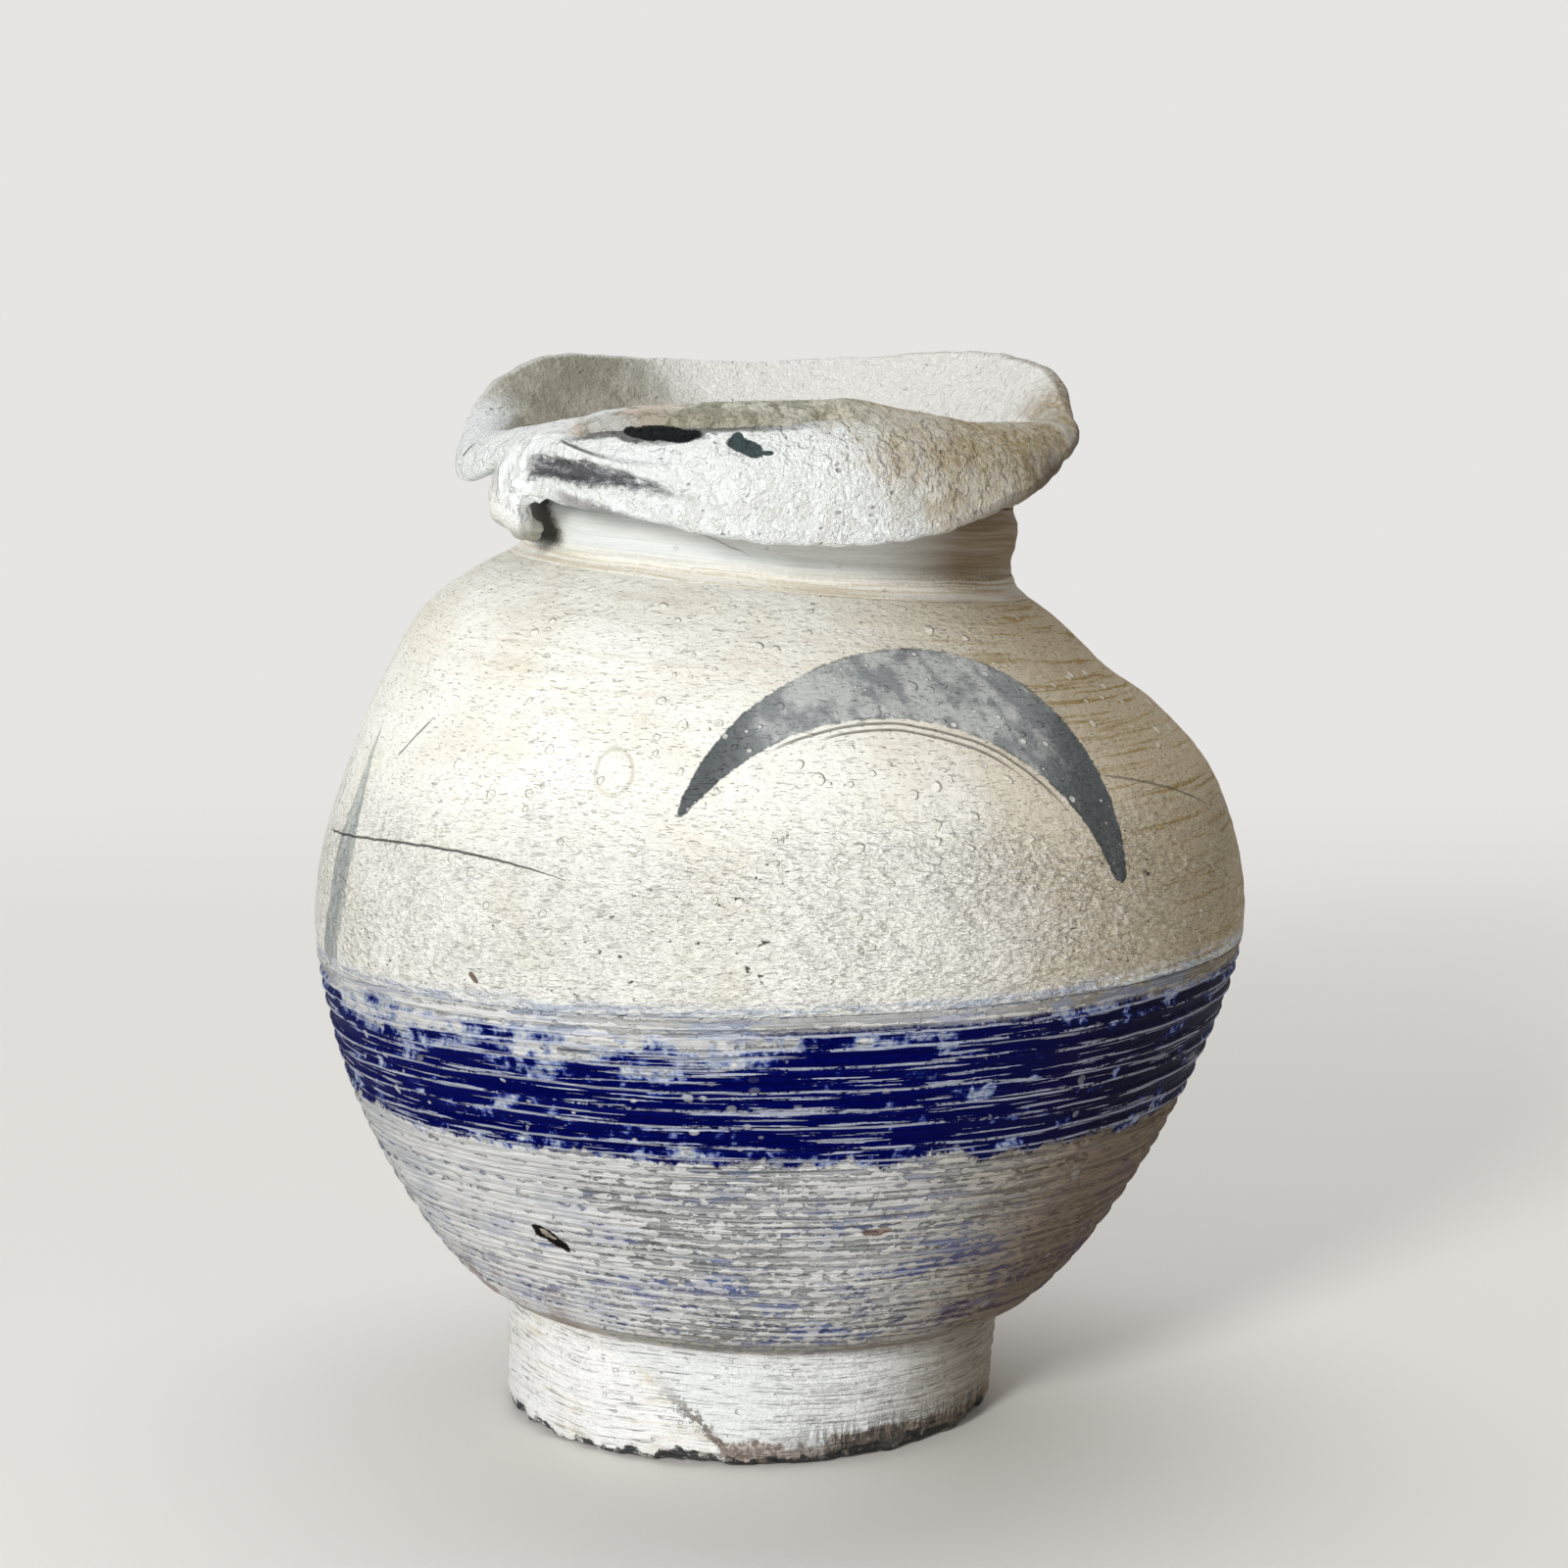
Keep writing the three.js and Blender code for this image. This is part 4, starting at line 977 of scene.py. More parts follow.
def neckMaterial(values):
    tree, here, f = startMaterial("cool white neck slip", 1.4, 0.1, 0.2, 0.4,
                                  values["throw"]["Ring Pitch"], 1.4)
    tones = painted(values["tones"])
    turn, rise = f["Turn"], f["Rise"]
    rough = f["Rough"]
    colour = mix(tones["white"], tones["cool"], ramp(f["Lines"], 0.42, 0.6) * 0.6)
    # painted shade: warm brown round the right side of the neck
    right = shadeRoundRight(turn, 288, 322)
    colour = mix(colour, tones["warm"], right * (0.62 + f["Lines"] * 0.5))
    base = fall(rise + rough * 4 + (f["Lines"] - 0.5) * 6, 232.0, 237.0)
    smeared = mix(tones["smearPale"], tones["smearDark"], ramp(f["Lines"] + rough * 0.5, 0.46, 0.6))
    colour = mix(colour, smeared, base * (0.9 - right * 0.4))
    colour = mix(colour, tones["scratch"], f["Scratches"] * 0.3)
    hair = markMask(tree, crack, turn, rise, values["crack"])
    colour = mix(colour, tones["crack"], hair * 0.6)
    # painted shadow in the hollow behind the lobe
    hollow = ramp(turn + (rise - 240) * 0.25 + rough * 5, 217, 212) * ramp(turn, 196, 202)
    hollow = hollow * ramp(rise + rough * 4, 232, 236)
    # painted shadow, darkest next to the lobe and fading to brown
    hollowShadow = mix(tones["hollow"], tones["hollowEdge"], ramp(turn + rough * 9, 210, 217))
    colour = mix(colour, hollowShadow, hollow * 0.95)
    height = f["Height"] * 0.7 + f["Lines"] * 0.9 - hair * 0.5
    return finishMaterial(f, colour, 0.76 - f["Specks"] * 0.1, height, 0.0004)


def makeNeck(values):
    rebate = vase["neckBore"] + values["rebateWidth"] - vase["gap"]
    low = vase["neckBase"] - values["rebateDepth"]
    way = catmull(np.array([values["outside"]], float), 60)[0]
    outline, skin = joined(
        ([(vase["neckBore"], low), (rebate, low), (rebate, vase["neckBase"]), (67.2, 230.9)], 0),
        (spaced(way, 0.7), 1),
        (spaced([(vase["neckBore"], vase["neckTop"]), (vase["neckBore"], low)], 2.5)[:-1], 0))
    piece = throwPiece("neckCollar", outline, skin, values["throw"], neckMaterial(values))
    return finishPiece(piece, "neck_collar")


def catmull(points, count):  # centripetal curves through rows of points: (rows, points, 2 or 3)
    before, after = 2 * points[:, :1] - points[:, 1:2], 2 * points[:, -1:] - points[:, -2:-1]
    full = np.concatenate([before, points, after], 1)
    t = np.linspace(0, 1, count) * (points.shape[1] - 1)
    k = np.minimum(t.astype(int), points.shape[1] - 2)
    u = (t - k)[None, :, None]
    a, b, c, d = (full[:, k + i] for i in range(4))
    reach = [np.sqrt(np.linalg.norm(q - p, axis=2, keepdims=True)) for p, q in ((a, b), (b, c), (c, d))]
    s1 = (b - a) / reach[0] - (c - a) / (reach[0] + reach[1]) + (c - b) / reach[1]
    s2 = (c - b) / reach[1] - (d - b) / (reach[1] + reach[2]) + (d - c) / reach[2]
    s1, s2 = s1 * reach[1], s2 * reach[1]
    return b + s1 * u + (-3 * b + 3 * c - 2 * s1 - s2) * u**2 + (2 * b - 2 * c + s1 + s2) * u**3


makeNeck(neckCollar)

# rim sheet: flange and apron come from it

rimSheet = {
    "rootRadius": 63.0, "rootThickness": 6.4, "thickness": 5.0, "ridgeProud": 1.8, "creaseDrop": 9.5,
    "lip": 2.2, "rootTaper": 0.35, "waistHollow": 0.22, "apronStart": 222.0, "apronEnd": 303.0, "steps": 400,
    # angle, crest out and up, edge out and up, bulge
    "stations": [
        (0, 12.5, 19, 18.8, 18.4, 1), (20, 12.5, 24, 20.3, 32.5, 0.4), (45, 11.5, 26, 20.5, 37.8, 0),
        (90, 10.5, 26, 18, 35.2, 0), (140, 10, 26, 17, 37, 0), (160, 11, 23, 18.3, 29.5, 0.5),
        (180, 12.5, 18, 19, 14, 2), (194, 13, 16, 19.6, 4.5, 3), (208, 12, 16.8, 18.5, 6, 3),
        (222, 10.5, 19, 21, 3, 5), (245, 8.6, 22.5, 23, -1.5, 7), (270, 8.2, 24, 23, -6.2, 8),
        (285, 8.2, 25, 23, -5.8, 8), (300, 8, 22, 22.4, -2, 6), (318, 8, 18.6, 20.4, 3.4, 4.5),
        (340, 10, 18.2, 18.8, 11.6, 2.4)],
    "creased": [(0, 0), (202, 0), (214, 1), (285, 1), (304.5, 0)],
    "skin": {"Swell": 1.2, "Swell Size": 15.0, "Grain": 0.6, "Grain Size": 2.8, "Seed": 4.0},
    # marks on the fold, in mm across and up as seen from the front
    "slot": {"at": (-29.3, 268.9), "half": (11.0, 1.9), "slant": -0.04, "depth": 3.4},
    "flake": {"at": (-8.4, 265.7), "half": (4.4, 2.1), "slant": -0.3, "depth": 0.7},
    "leafDepth": 1.3, "valleyDepth": 2.6,
    "tones": {"white": "#f5f9fa", "cream": "#e3dfd2", "beige": "#aa9b7c", "sand": "#dcd4c0"},
}


def sheetCurves(angles, values):
    crestOut, crestUp, edgeOut, edgeUp, bulge = (
        stationValues(values["stations"], i, angles, 360.0) for i in range(1, 6))
    rootRadius, seat = values["rootRadius"], vase["neckTop"] + vase["gap"]
    root = np.full((len(angles), 2), (rootRadius, seat))
    crest = np.column_stack([rootRadius + crestOut, vase["neckTop"] + crestUp])
    edge = np.column_stack([rootRadius + edgeOut, vase["neckTop"] + edgeUp])
    waist = (root + crest) / 2
    waist[:, 0] -= crestOut * values["waistHollow"]
    chord = edge - crest
    chord /= np.linalg.norm(chord, axis=1)[:, None]
    swell = (crest + edge) / 2 + np.column_stack([-chord[:, 1], chord[:, 0]]) * bulge[:, None]
    curves = catmull(np.stack([root, waist, crest, swell, edge], 1), values["steps"] + 1)
    steps = np.linalg.norm(np.diff(curves, axis=1), axis=2)
    lengths = np.concatenate([np.zeros((len(angles), 1)), np.cumsum(steps, axis=1)], axis=1)
    return curves, lengths


def openCrease(angles):  # 1 where the crease under the ridge is open, 0 where the sheet runs on
    return smoothstep(231, 238, angles) * (1 - smoothstep(264, 286, angles))


def leafEdge(x):  # height of the lower edge of the leaf-shaped hollow
    t = x + 50.4
    return t * -0.37 + t * t * 0.0085 + 265.1


def valleyLine(x):  # height of the middle of the grey valley
    t = x + 52.0
    return t * -0.12 - t * t * 0.0035 + 259.6


def creaseShares(angles, lengths, values):  # where the crease parts the sheet, as a share of its length
    parted = stationValues(values["creased"], 1, angles, 360.0)
    crest = lengths[:, values["steps"] // 2]
    return 1 + ((crest + values["creaseDrop"]) / lengths[:, -1] - 1) * parted, parted


def sheetSection(curve, lengths, start, end, counts, values, proud=0.0, dip=0.0, roundStart=False):
    # closed outline across the sheet: back, nose, face and, for the apron, a rounded upper edge
    backCount, noseCount, faceCount = counts
    total = lengths[-1]

    def at(share):
        run = share * total
        point, ahead, behind = (np.column_stack([np.interp(r, lengths, curve[:, i]) for i in range(2)])
                                for r in (run, np.minimum(run + 0.2, total), np.maximum(run - 0.2, 0)))
        tangent = ahead - behind
        tangent /= np.linalg.norm(tangent, axis=1)[:, None]
        return point, tangent

    def side(shares, sign):
        point, tangent = at(shares)
        tangent[shares <= 0] = (0, 1)
        taper = smoothstep(0, values["rootTaper"], shares)
        half = (values["rootThickness"] + (values["thickness"] - values["rootThickness"]) * taper) / 2
        rise = 0
        if sign < 0:
            fromJoin = (shares - start) * total if roundStart else (end - shares) * total
            rise = (proud * smoothstep(end * 0.62, end * 0.95, shares)
                    - dip * (1 - smoothstep(0, 6, fromJoin)))
        outward = np.column_stack([tangent[:, 1], -tangent[:, 0]])
        return point + outward * (sign * (half + rise))[:, None]

    backShares, faceShares = np.linspace(start, end, backCount), np.linspace(end, start, faceCount)
    back, face = side(backShares, 1), side(faceShares, -1)

    def cap(a, b, direction, reach, count):
        middle, arm = (a + b) / 2, (a - b) / 2
        turn = np.linspace(0, np.pi, count + 2)[1:-1, None]
        return middle + arm * np.cos(turn) + direction * reach * np.sin(turn)

    _, along = at(np.array([start, end]))
    runs = [back, cap(back[-1], face[0], along[1], values["lip"], noseCount), face]
    shares = [backShares, np.full(noseCount, end), faceShares]
    if roundStart:
        runs.append(cap(face[-1], back[0], -along[0], values["lip"] * 0.8, 5))
        shares.append(np.full(5, start))
    face = np.concatenate([np.full(len(run), (0.0, 0.5, 1.0, 0.5)[i]) for i, run in enumerate(runs)])
    return np.concatenate(runs), np.concatenate(shares) * total, face


def loftMesh(name, sections, closed, marks=None):
    # a grid of closed outlines joined into one shell, with fan ends where it is open
    rows, width = len(sections), len(sections[0])
    points = sections.reshape(-1, 3)
    row = np.arange(rows if closed else rows - 1)[:, None] * width
    column = np.arange(width)[None, :]
    ahead = (row + width) % (rows * width)
    nextColumn = (column + 1) % width
    quads = np.stack([row + column, row + nextColumn, ahead + nextColumn, ahead + column], -1)
    faces = quads.reshape(-1, 4).tolist()
    if not closed:
        points = np.concatenate([points, sections[0].mean(0)[None], sections[-1].mean(0)[None]])
        first, last = rows * width, rows * width + 1
        for i in range(width):
            j = (i + 1) % width
            faces.append((j, i, first))
            faces.append(((rows - 1) * width + i, (rows - 1) * width + j, last))
    mesh = bpy.data.meshes.new(name)
    mesh.from_pydata((points * 0.001).tolist(), [], faces)
    mesh.update()
    away = np.maximum(np.hypot(*points[:, :2].T), 1e-6)[:, None]
    wheel = np.column_stack([points[:, :2] / away * 100, points[:, 2]]).astype(np.float32)
    mesh.attributes.new("wheel", "FLOAT_VECTOR", "POINT").data.foreach_set("vector", wheel.ravel())
    for label, marked in (marks or {}).items():
        marked = np.array(marked).ravel()
        if not closed:
            marked = np.concatenate([marked, marked[:1], marked[-1:]])
        mesh.attributes.new(label, "FLOAT", "POINT").data.foreach_set("value", marked.astype(np.float32))
    faceOutwards(mesh)
    piece = bpy.data.objects.new(name, mesh)
    bpy.context.scene.collection.objects.link(piece)
    return piece


def claySkinTree():
    # hand pressed unevenness pushed along the surface's own normal
    given, end = newTree("GeometryNodeTree", "clay skin", {
        "Geometry": "Geometry", "Swell": 0.8, "Swell Size": 18.0, "Grain": 0.3, "Grain Size": 3.0,
        "Seed": 0.0, "Clay": "Material"}, {"Geometry": "Geometry"})
    tree = end.id_data
    tree.is_modifier = True
    place = made(tree, "GeometryNodeInputPosition")
    here = vectorMath("ADD", stretch(place, 1000, 1000, 1000),
                      vectorOf(given["Seed"], given["Seed"], given["Seed"]))
    swell = (noise(here, 1.0 / given["Swell Size"], 1.5) - 0.5) * given["Swell"]
    grain = (noise(here, 1.0 / given["Grain Size"], 3.0, 0.6) - 0.5) * given["Grain"]
    offset = vectorMath("SCALE", made(tree, "GeometryNodeInputNormal"), (swell + grain) * 0.001, 3)
    placed = made(tree, "GeometryNodeSetPosition", {"Geometry": given["Geometry"], "Offset": offset})
    return dressed(placed, given["Clay"], end)


skinTree = claySkinTree()


def ringed(outline, angle):
    turn = math.radians(angle)
    return np.column_stack([outline[:, 0] * math.cos(turn), outline[:, 0] * math.sin(turn), outline[:, 1]])


def rimToneGroup(tones):
    # one coat over the whole rim: chalk white at the front left, sandy beige round the right, partly its own
    # colour and partly painted shade
    given, end = newTree("ShaderNodeTree", "rim tone", {
        "Vector": "Vector", "Turn": 0.0, "Rise": 0.0, "White": tones["white"], "Cream": tones["cream"],
        "Beige": tones["beige"], "Sand": tones["sand"]}, {"Colour": "Color", **numbers("Rough", "Shade")})
    here, turn, rise = given["Vector"], given["Turn"], given["Rise"]
    rough = noise(here, 280, 4.0, 0.7) - 0.5
    blotch = noise(here, 62, 4.0, 0.62)
    sand = ramp(noise(here, 520, 3.0, 0.65), 0.48, 0.6)
    line = turn - 280.0 - (271 - rise) * 0.62 + (blotch - 0.5) * 12 + rough * 8
    # painted shade: beige and sand come in across a slanting line round the right
    shade = ramp(line, -4, 11) + fall(turn, 20, 110)
    creamy = ramp(blotch + rough * 0.5, 0.44, 0.64) * (0.12 + shade * 0.6)
    colour = mix(given["White"], given["Cream"], creamy)
    colour = mix(colour, given["Beige"], shade * (0.55 + ramp(blotch, 0.35, 0.65) * 0.45))
    colour = mix(colour, given["Sand"], sand * shade * 0.6)
    return giveOut(end, colour, rough, shade)


rimTone = rimToneGroup(painted(rimSheet["tones"]))

rimFlange = {
    "stations": 540, "counts": (34, 9, 44), "edgeWave": 0.7,
    "tones": {"olive": "#9d9a84", "rust": "#d3b9a5", "inside": "#fbfaf6", "grey": "#75757a",
              "coal": "#474649", "shadow": "#3a362b", "slate": "#171c1e", "edge": "#5d5142",
              "olivePale": "#d6d2c2", "fleck": "#5f5a4a", "lipShade": "#7b7561", "shadeDark": "#857f68",
              "shadePale": "#a9a38e", "peeled": "#d8d6cf", "crumbled": "#8f8a7e", "wedge": "#8b898b",
              "leafLine": "#55534e", "slateBlue": "#37474a", "dust": "#4e5152", "pit": "#6d665a",
              "split": "#26221e"},
    "flecks": [{"at": (-10.6, 267.6), "half": (1.7, 1.9), "slant": 0.0},
               {"at": (-3.2, 264.4), "half": (1.6, 0.6), "slant": 0.0}],
    "split": {"At Turn": 198.2, "At Rise": 263.8, "Half Width": 2.2, "Half Height": 0.7, "Slant": 0.8,
              "Radius": 83.0, "Ragged": 0.2},
}


def greyPoolGroup():
    # grey glaze caught in the valley of the fold, torn at its edges
    given, end = newTree("ShaderNodeTree", "grey pool", {"Vector": "Vector", "Across": 0.0, "Up": 0.0},
                         numbers("Mask", "Core"))
    x, up = given["Across"], given["Up"]
    torn = (noise(given["Vector"], 230, 5.0, 0.8) - 0.5) * 2
    away = calc("ABSOLUTE", up - valleyLine(x) + torn * 4.2) - ramp(x, -52, -22, 2.8, 0.5)
    ends = ramp(x + torn * 6, -66, -60) * fall(x + torn * 14, -38, -12)
    pool = fall(away, -1.4, 1.0) * ends
    streak = noise(stretch(given["Vector"], 130, 130, 460), 1.0, 5.0, 0.75)
    return giveOut(end, pool, pool * ramp(streak - away * 0.04, 0.47, 0.56))


greyPool = greyPoolGroup()


def rimMaterial(values, sheet):
    # one coat runs over the ridge, the flange and the folded apron
    tree, here, f = startMaterial("folded rim slip", 1.3, 0.1, 0.25, 0.8, 4.0, 1.0)
    tones = painted(values["tones"])
    turn, rise = f["Turn"], f["Rise"]
    x, y, z = parts(stretch(here, 1000, 1000, 1000))
    past, face = attribute(tree, "past"), attribute(tree, "face")
    tone = useGroup(tree, rimTone, {"Vector": here, "Turn": turn, "Rise": rise})
    colour, rough = tone["Colour"], tone["Rough"]
    radius = calc("SQRT", calc("POWER", x + 3, 2.0) + y * y)
    blotch = noise(here, 90, 4.0, 0.65)
    flaky = noise(here, 300, 2.6, 0.5)
    parted = plateau(turn, 227, 236, 290, 308)
    # worn and stained skin along the ridge, with rust spots at its left end
    ridge = parted * ramp(past + rough * 2, -16, -11) * fall(past, 0.0, 0.8) * fall(turn, 279, 296)
    olive = mix(tones["olive"], tones["olivePale"], ramp(blotch + rough * 0.8, 0.44, 0.56))
    colour = mix(colour, olive, ridge * ramp(turn + (blotch - 0.5) * 16, 240, 256) * 0.85)
    colour = mix(colour, tones["rust"], ridge * ramp(blotch, 0.44, 0.58) * fall(turn, 246, 256) * 0.6)
    colour = mix(colour, tones["fleck"], ridge * ramp(flaky, 0.57, 0.63) * 0.5)
    openness = plateau(turn, 230, 238, 264, 286)
    # painted shade under the lip of the ridge where the crease is open
    lipShade = ramp(past + rough, -4.5, -0.3) * fall(past, 0.3, 1.4)
    colour = mix(colour, tones["lipShade"], lipShade * openness * 0.5)
    # inside of the mouth: white slip made brighter as painted light at the right, painted shade in olive at
    # the left
    inner = fall(radius + rough * 2, 70, 73.5)
    within = calc("MAXIMUM", inner * (1.0 - ridge), ramp(y, 5, 30)) * face
    colour = mix(colour, tones["inside"], within * 0.95)
    shadeLeft = fall(x + (blotch - 0.5) * 26 + (z - 270) * 0.6, -44, -14)
    colour = mix(colour, mix(tones["shadeDark"], tones["shadePale"], ramp(blotch, 0.4, 0.6)),
                 within * shadeLeft * ramp(turn, 60, 90) * fall(turn, 176, 192) * 0.8)
    # skin peeled off in small plates towards the lower edge of the fold
    folded = ramp(past, -0.6, 0.2)
    peeled = ramp(flaky, 0.51, 0.56) * fall(rise + rough * 8, 250, 266) * folded
    colour = mix(colour, tones["peeled"], peeled * 0.35)
    crumbled = ramp(calc("ABSOLUTE", flaky - 0.53), 0.014, 0.0) * (0.3 + peeled * 0.7)
    colour = mix(colour, tones["crumbled"], crumbled * (0.04 + tone["Shade"] * 0.12))
    # grey glaze in the valley and in a wedge at the lower edge
    pool = useGroup(tree, greyPool, {"Vector": here, "Across": x, "Up": z})
    onFront = ramp(y, -35, -50)
    colour = mix(colour, tones["grey"], pool["Mask"] * onFront * 0.85)
    colour = mix(colour, tones["coal"], pool["Core"] * onFront * 0.7)
    wedge = near(z - 251.6 + (x + 50) * 0.32 + rough * 4, 0.5, 2.2) * ramp(x, -58, -53)
    colour = mix(colour, tones["wedge"], wedge * fall(x + rough * 8, -44, -33) * onFront * 0.75)
    leafLine = near(z - leafEdge(x) + rough * 0.6, 0.15, 0.6) * ramp(x, -56, -54)
    leafTone = ramp(x, -50, -40, 0.9, 0.3) * fall(x, -40, -26)
    colour = mix(colour, tones["leafLine"], leafLine * leafTone * folded)
    # painted shadow in the crease and in the slot under the ridge; bare clay where a flake is gone
    # painted shadow along the crease
    crease = ramp(past, 0.3, 0.9) * fall(past + rough, 2.1, 3.2)
    colour = mix(colour, tones["shadow"], crease * openness * 0.8)
    slate = rise * 0
    for mark in (sheet["slot"], sheet["flake"], *values["flecks"]):
        (atX, atZ), (halfWidth, halfHeight) = mark["at"], mark["half"]
        slate = calc("MAXIMUM", slate, markMask(tree, chip, x, z, {
            "At Turn": atX, "At Rise": atZ, "Half Width": halfWidth, "Half Height": halfHeight,
            "Slant": mark["slant"], "Radius": math.degrees(1), "Ragged": 0.2}))
    slate = slate * onFront * ramp(past, -1.6, -0.8)
    colour = mix(colour, mix(tones["slate"], tones["slateBlue"], ramp(x, -14, -12)), slate * 0.98)
    dust = dots(vectorOf(x, y, z), 0.6, 0.25) * ramp(x, -30, -24) * fall(x, 2, 10)
    dust = dust * ramp(z, 260, 264) * folded
    colour = mix(colour, tones["dust"], dust * 0.6)
    colour = mix(colour, tones["pit"], f["Pits"] * (1.0 - within) * 0.5)
    # painted shade along the outer edge and the free edge round the right
    rightEdge = ramp(radius, 82.5, 84.5) * shadeRoundRight(turn, 316, 330, 10, 50)
    colour = mix(colour, tones["edge"], rightEdge * ramp(blotch, 0.35, 0.55) * 0.75)
    edgeLine = ramp(past, -0.8, 0.5) * shadeRoundRight(turn, 300, 318, 10, 50)
    colour = mix(colour, tones["edge"], edgeLine * 0.7)
    split = markMask(tree, chip, turn, rise, values["split"])
    colour = mix(colour, tones["split"], split * 0.9 * ramp(radius, 78, 80))
    height = (f["Height"] + ramp(flaky, 0.4, 0.6) * (0.75 + tone["Shade"] * 0.4 - within * 0.5)
              + ramp(blotch, 0.4, 0.6) * 0.4 - split - peeled * 0.5 - slate * 0.8
              - pool["Mask"] * onFront * 0.4 - crease * openness * 0.5)
    return finishMaterial(f, colour, 0.84 - slate * 0.3 - pool["Mask"] * 0.15, height, 0.0009)


def makeFlange(values, sheet, coat):
    angles = np.arange(values["stations"]) * 360 / values["stations"]
    curves, lengths = sheetCurves(angles, sheet)
    ends, parted = creaseShares(angles, lengths, sheet)
    trim = waves(angles, (3, 7, 13, 29, 47), 8) * values["edgeWave"] / lengths[:, -1]
    sections, past, faces = [], [], []
    for i, angle in enumerate(angles):
        end = min(ends[i] + trim[i] * (1 - 0.4 * parted[i]) - 0.7 / lengths[i, -1], 1.0)
        merged = (1 - openCrease(angle)) * parted[i]
        proud = sheet["ridgeProud"] * parted[i] * (1 - merged)
        section, runs, face = sheetSection(curves[i], lengths[i], 0.0, end, values["counts"], sheet, proud,
                                           merged * 0.35)
        faces.append(face)
        sections.append(ringed(section, angle))
        past.append(runs - end * lengths[i, -1])
    piece = loftMesh("rimFlange", np.array(sections), True, {"past": past, "face": faces})
    piece = runTree(piece, skinTree, sheet["skin"], coat, piece.name)
    mesh = piece.data
    points = readPoints(mesh)
    # the root stays flat on the neck
    low = (np.hypot(points[:, 0], points[:, 1]) < 70) & (points[:, 2] < vase["neckTop"] + 3)
    points[:, 2] = np.where(low, np.maximum(points[:, 2], vase["neckTop"] + vase["gap"]), points[:, 2])
    writePoints(mesh, points)
    return finishPiece(piece, "rim_flange")


rimCoat = rimMaterial(rimFlange, rimSheet)
makeFlange(rimFlange, rimSheet, rimCoat)

frontApron = {"step": 0.4, "counts": (30, 9, 96)}


def makeApron(values, sheet, coat):
    span = sheet["apronEnd"] - sheet["apronStart"]
    count = int(span / values["step"]) + 1
    angles = np.linspace(sheet["apronStart"], sheet["apronEnd"], count)
    curves, lengths = sheetCurves(angles, sheet)
    starts, _ = creaseShares(angles, lengths, sheet)
    sections, past, faces = [], [], []
    for i, angle in enumerate(angles):
        total = lengths[i, -1]
        merged = 1 - openCrease(angle)
        end = min(1.0, 1.0 - 0.6 / total + waves(angles[i:i + 1], (9, 17, 31, 59), 21)[0] * 0.5 / total)
        start = starts[i] + (vase["gap"] + sheet["lip"] * 0.8 - merged * 8.0) / total
        start = min(start, end - 2.5 / total)
        section, runs, face = sheetSection(curves[i], lengths[i], start, end, values["counts"], sheet, 0.0,
                                           merged * 0.35, True)
        faces.append(face)
        sections.append(ringed(section, angle))
        past.append(runs - starts[i] * total)
    piece = loftMesh("frontApron", np.array(sections), False, {"past": past, "face": faces})
    piece = runTree(piece, skinTree, sheet["skin"], coat, piece.name)
    mesh = piece.data
    points, normals = readPoints(mesh), readNormals(mesh)
    x, z = points[:, 0] - 3.0, points[:, 2]
    outward = points * (1, 1, 0) / np.hypot(*points[:, :2].T)[:, None]
    outer = smoothstep(0.3, 0.9, (normals * outward).sum(1)) * smoothstep(-30, -50, points[:, 1])
    leaf = smoothstep(0, 1.4, z - leafEdge(x)) * smoothstep(-55, -52, x) * (1 - smoothstep(-34, -12, x))
    half = 2.6 - 1.8 * smoothstep(-50, -26, x)
    valley = smoothstep(0, 2.2, half + 0.9 - np.abs(z - valleyLine(x))) * (1 - smoothstep(-34, -20, x))
    push = np.maximum(leaf * sheet["leafDepth"], valley * sheet["valleyDepth"])
    for name in ("slot", "flake"):
        one = sheet[name]
        u, v = (x - one["at"][0]) / one["half"][0], (z - one["at"][1]) / one["half"][1]
        push += smoothstep(0, 0.5, 1.1 - np.abs(u)**2.4 - np.abs(v)**2.4) * one["depth"]
    points -= normals * (push * outer)[:, None]
    writePoints(mesh, points)
    return finishPiece(piece, "front_apron")


makeApron(frontApron, rimSheet, rimCoat)

# gathered lobe at the left of the fold

pleatCurl = {
    # angle, reach beyond the root, rise over the neck's top, half height and half thickness of the roll
    "path": [(240.0, 17.8, 8.6, 5.5, 1.8), (234.0, 18.6, 9.2, 7.4, 2.6), (227.5, 20.0, 9.4, 8.4, 3.6),
             (222.0, 21.4, 7.0, 8.6, 4.3), (218.8, 21.6, 1.2, 7.2, 4.7), (216.6, 19.6, -5.0, 6.0, 4.6),
             (214.4, 15.4, -9.6, 5.2, 4.2), (211.5, 9.6, -11.4, 3.6, 3.0)],
    "steps": 190, "sides": 120,
    "skin": {"Swell": 1.5, "Swell Size": 8.0, "Grain": 0.5, "Grain Size": 2.2, "Seed": 17.0},
    "tones": {"dark": "#5d584f", "pale": "#dcd6c8", "grey": "#75757a", "coal": "#474649",
              "under": "#8d8570"},
}


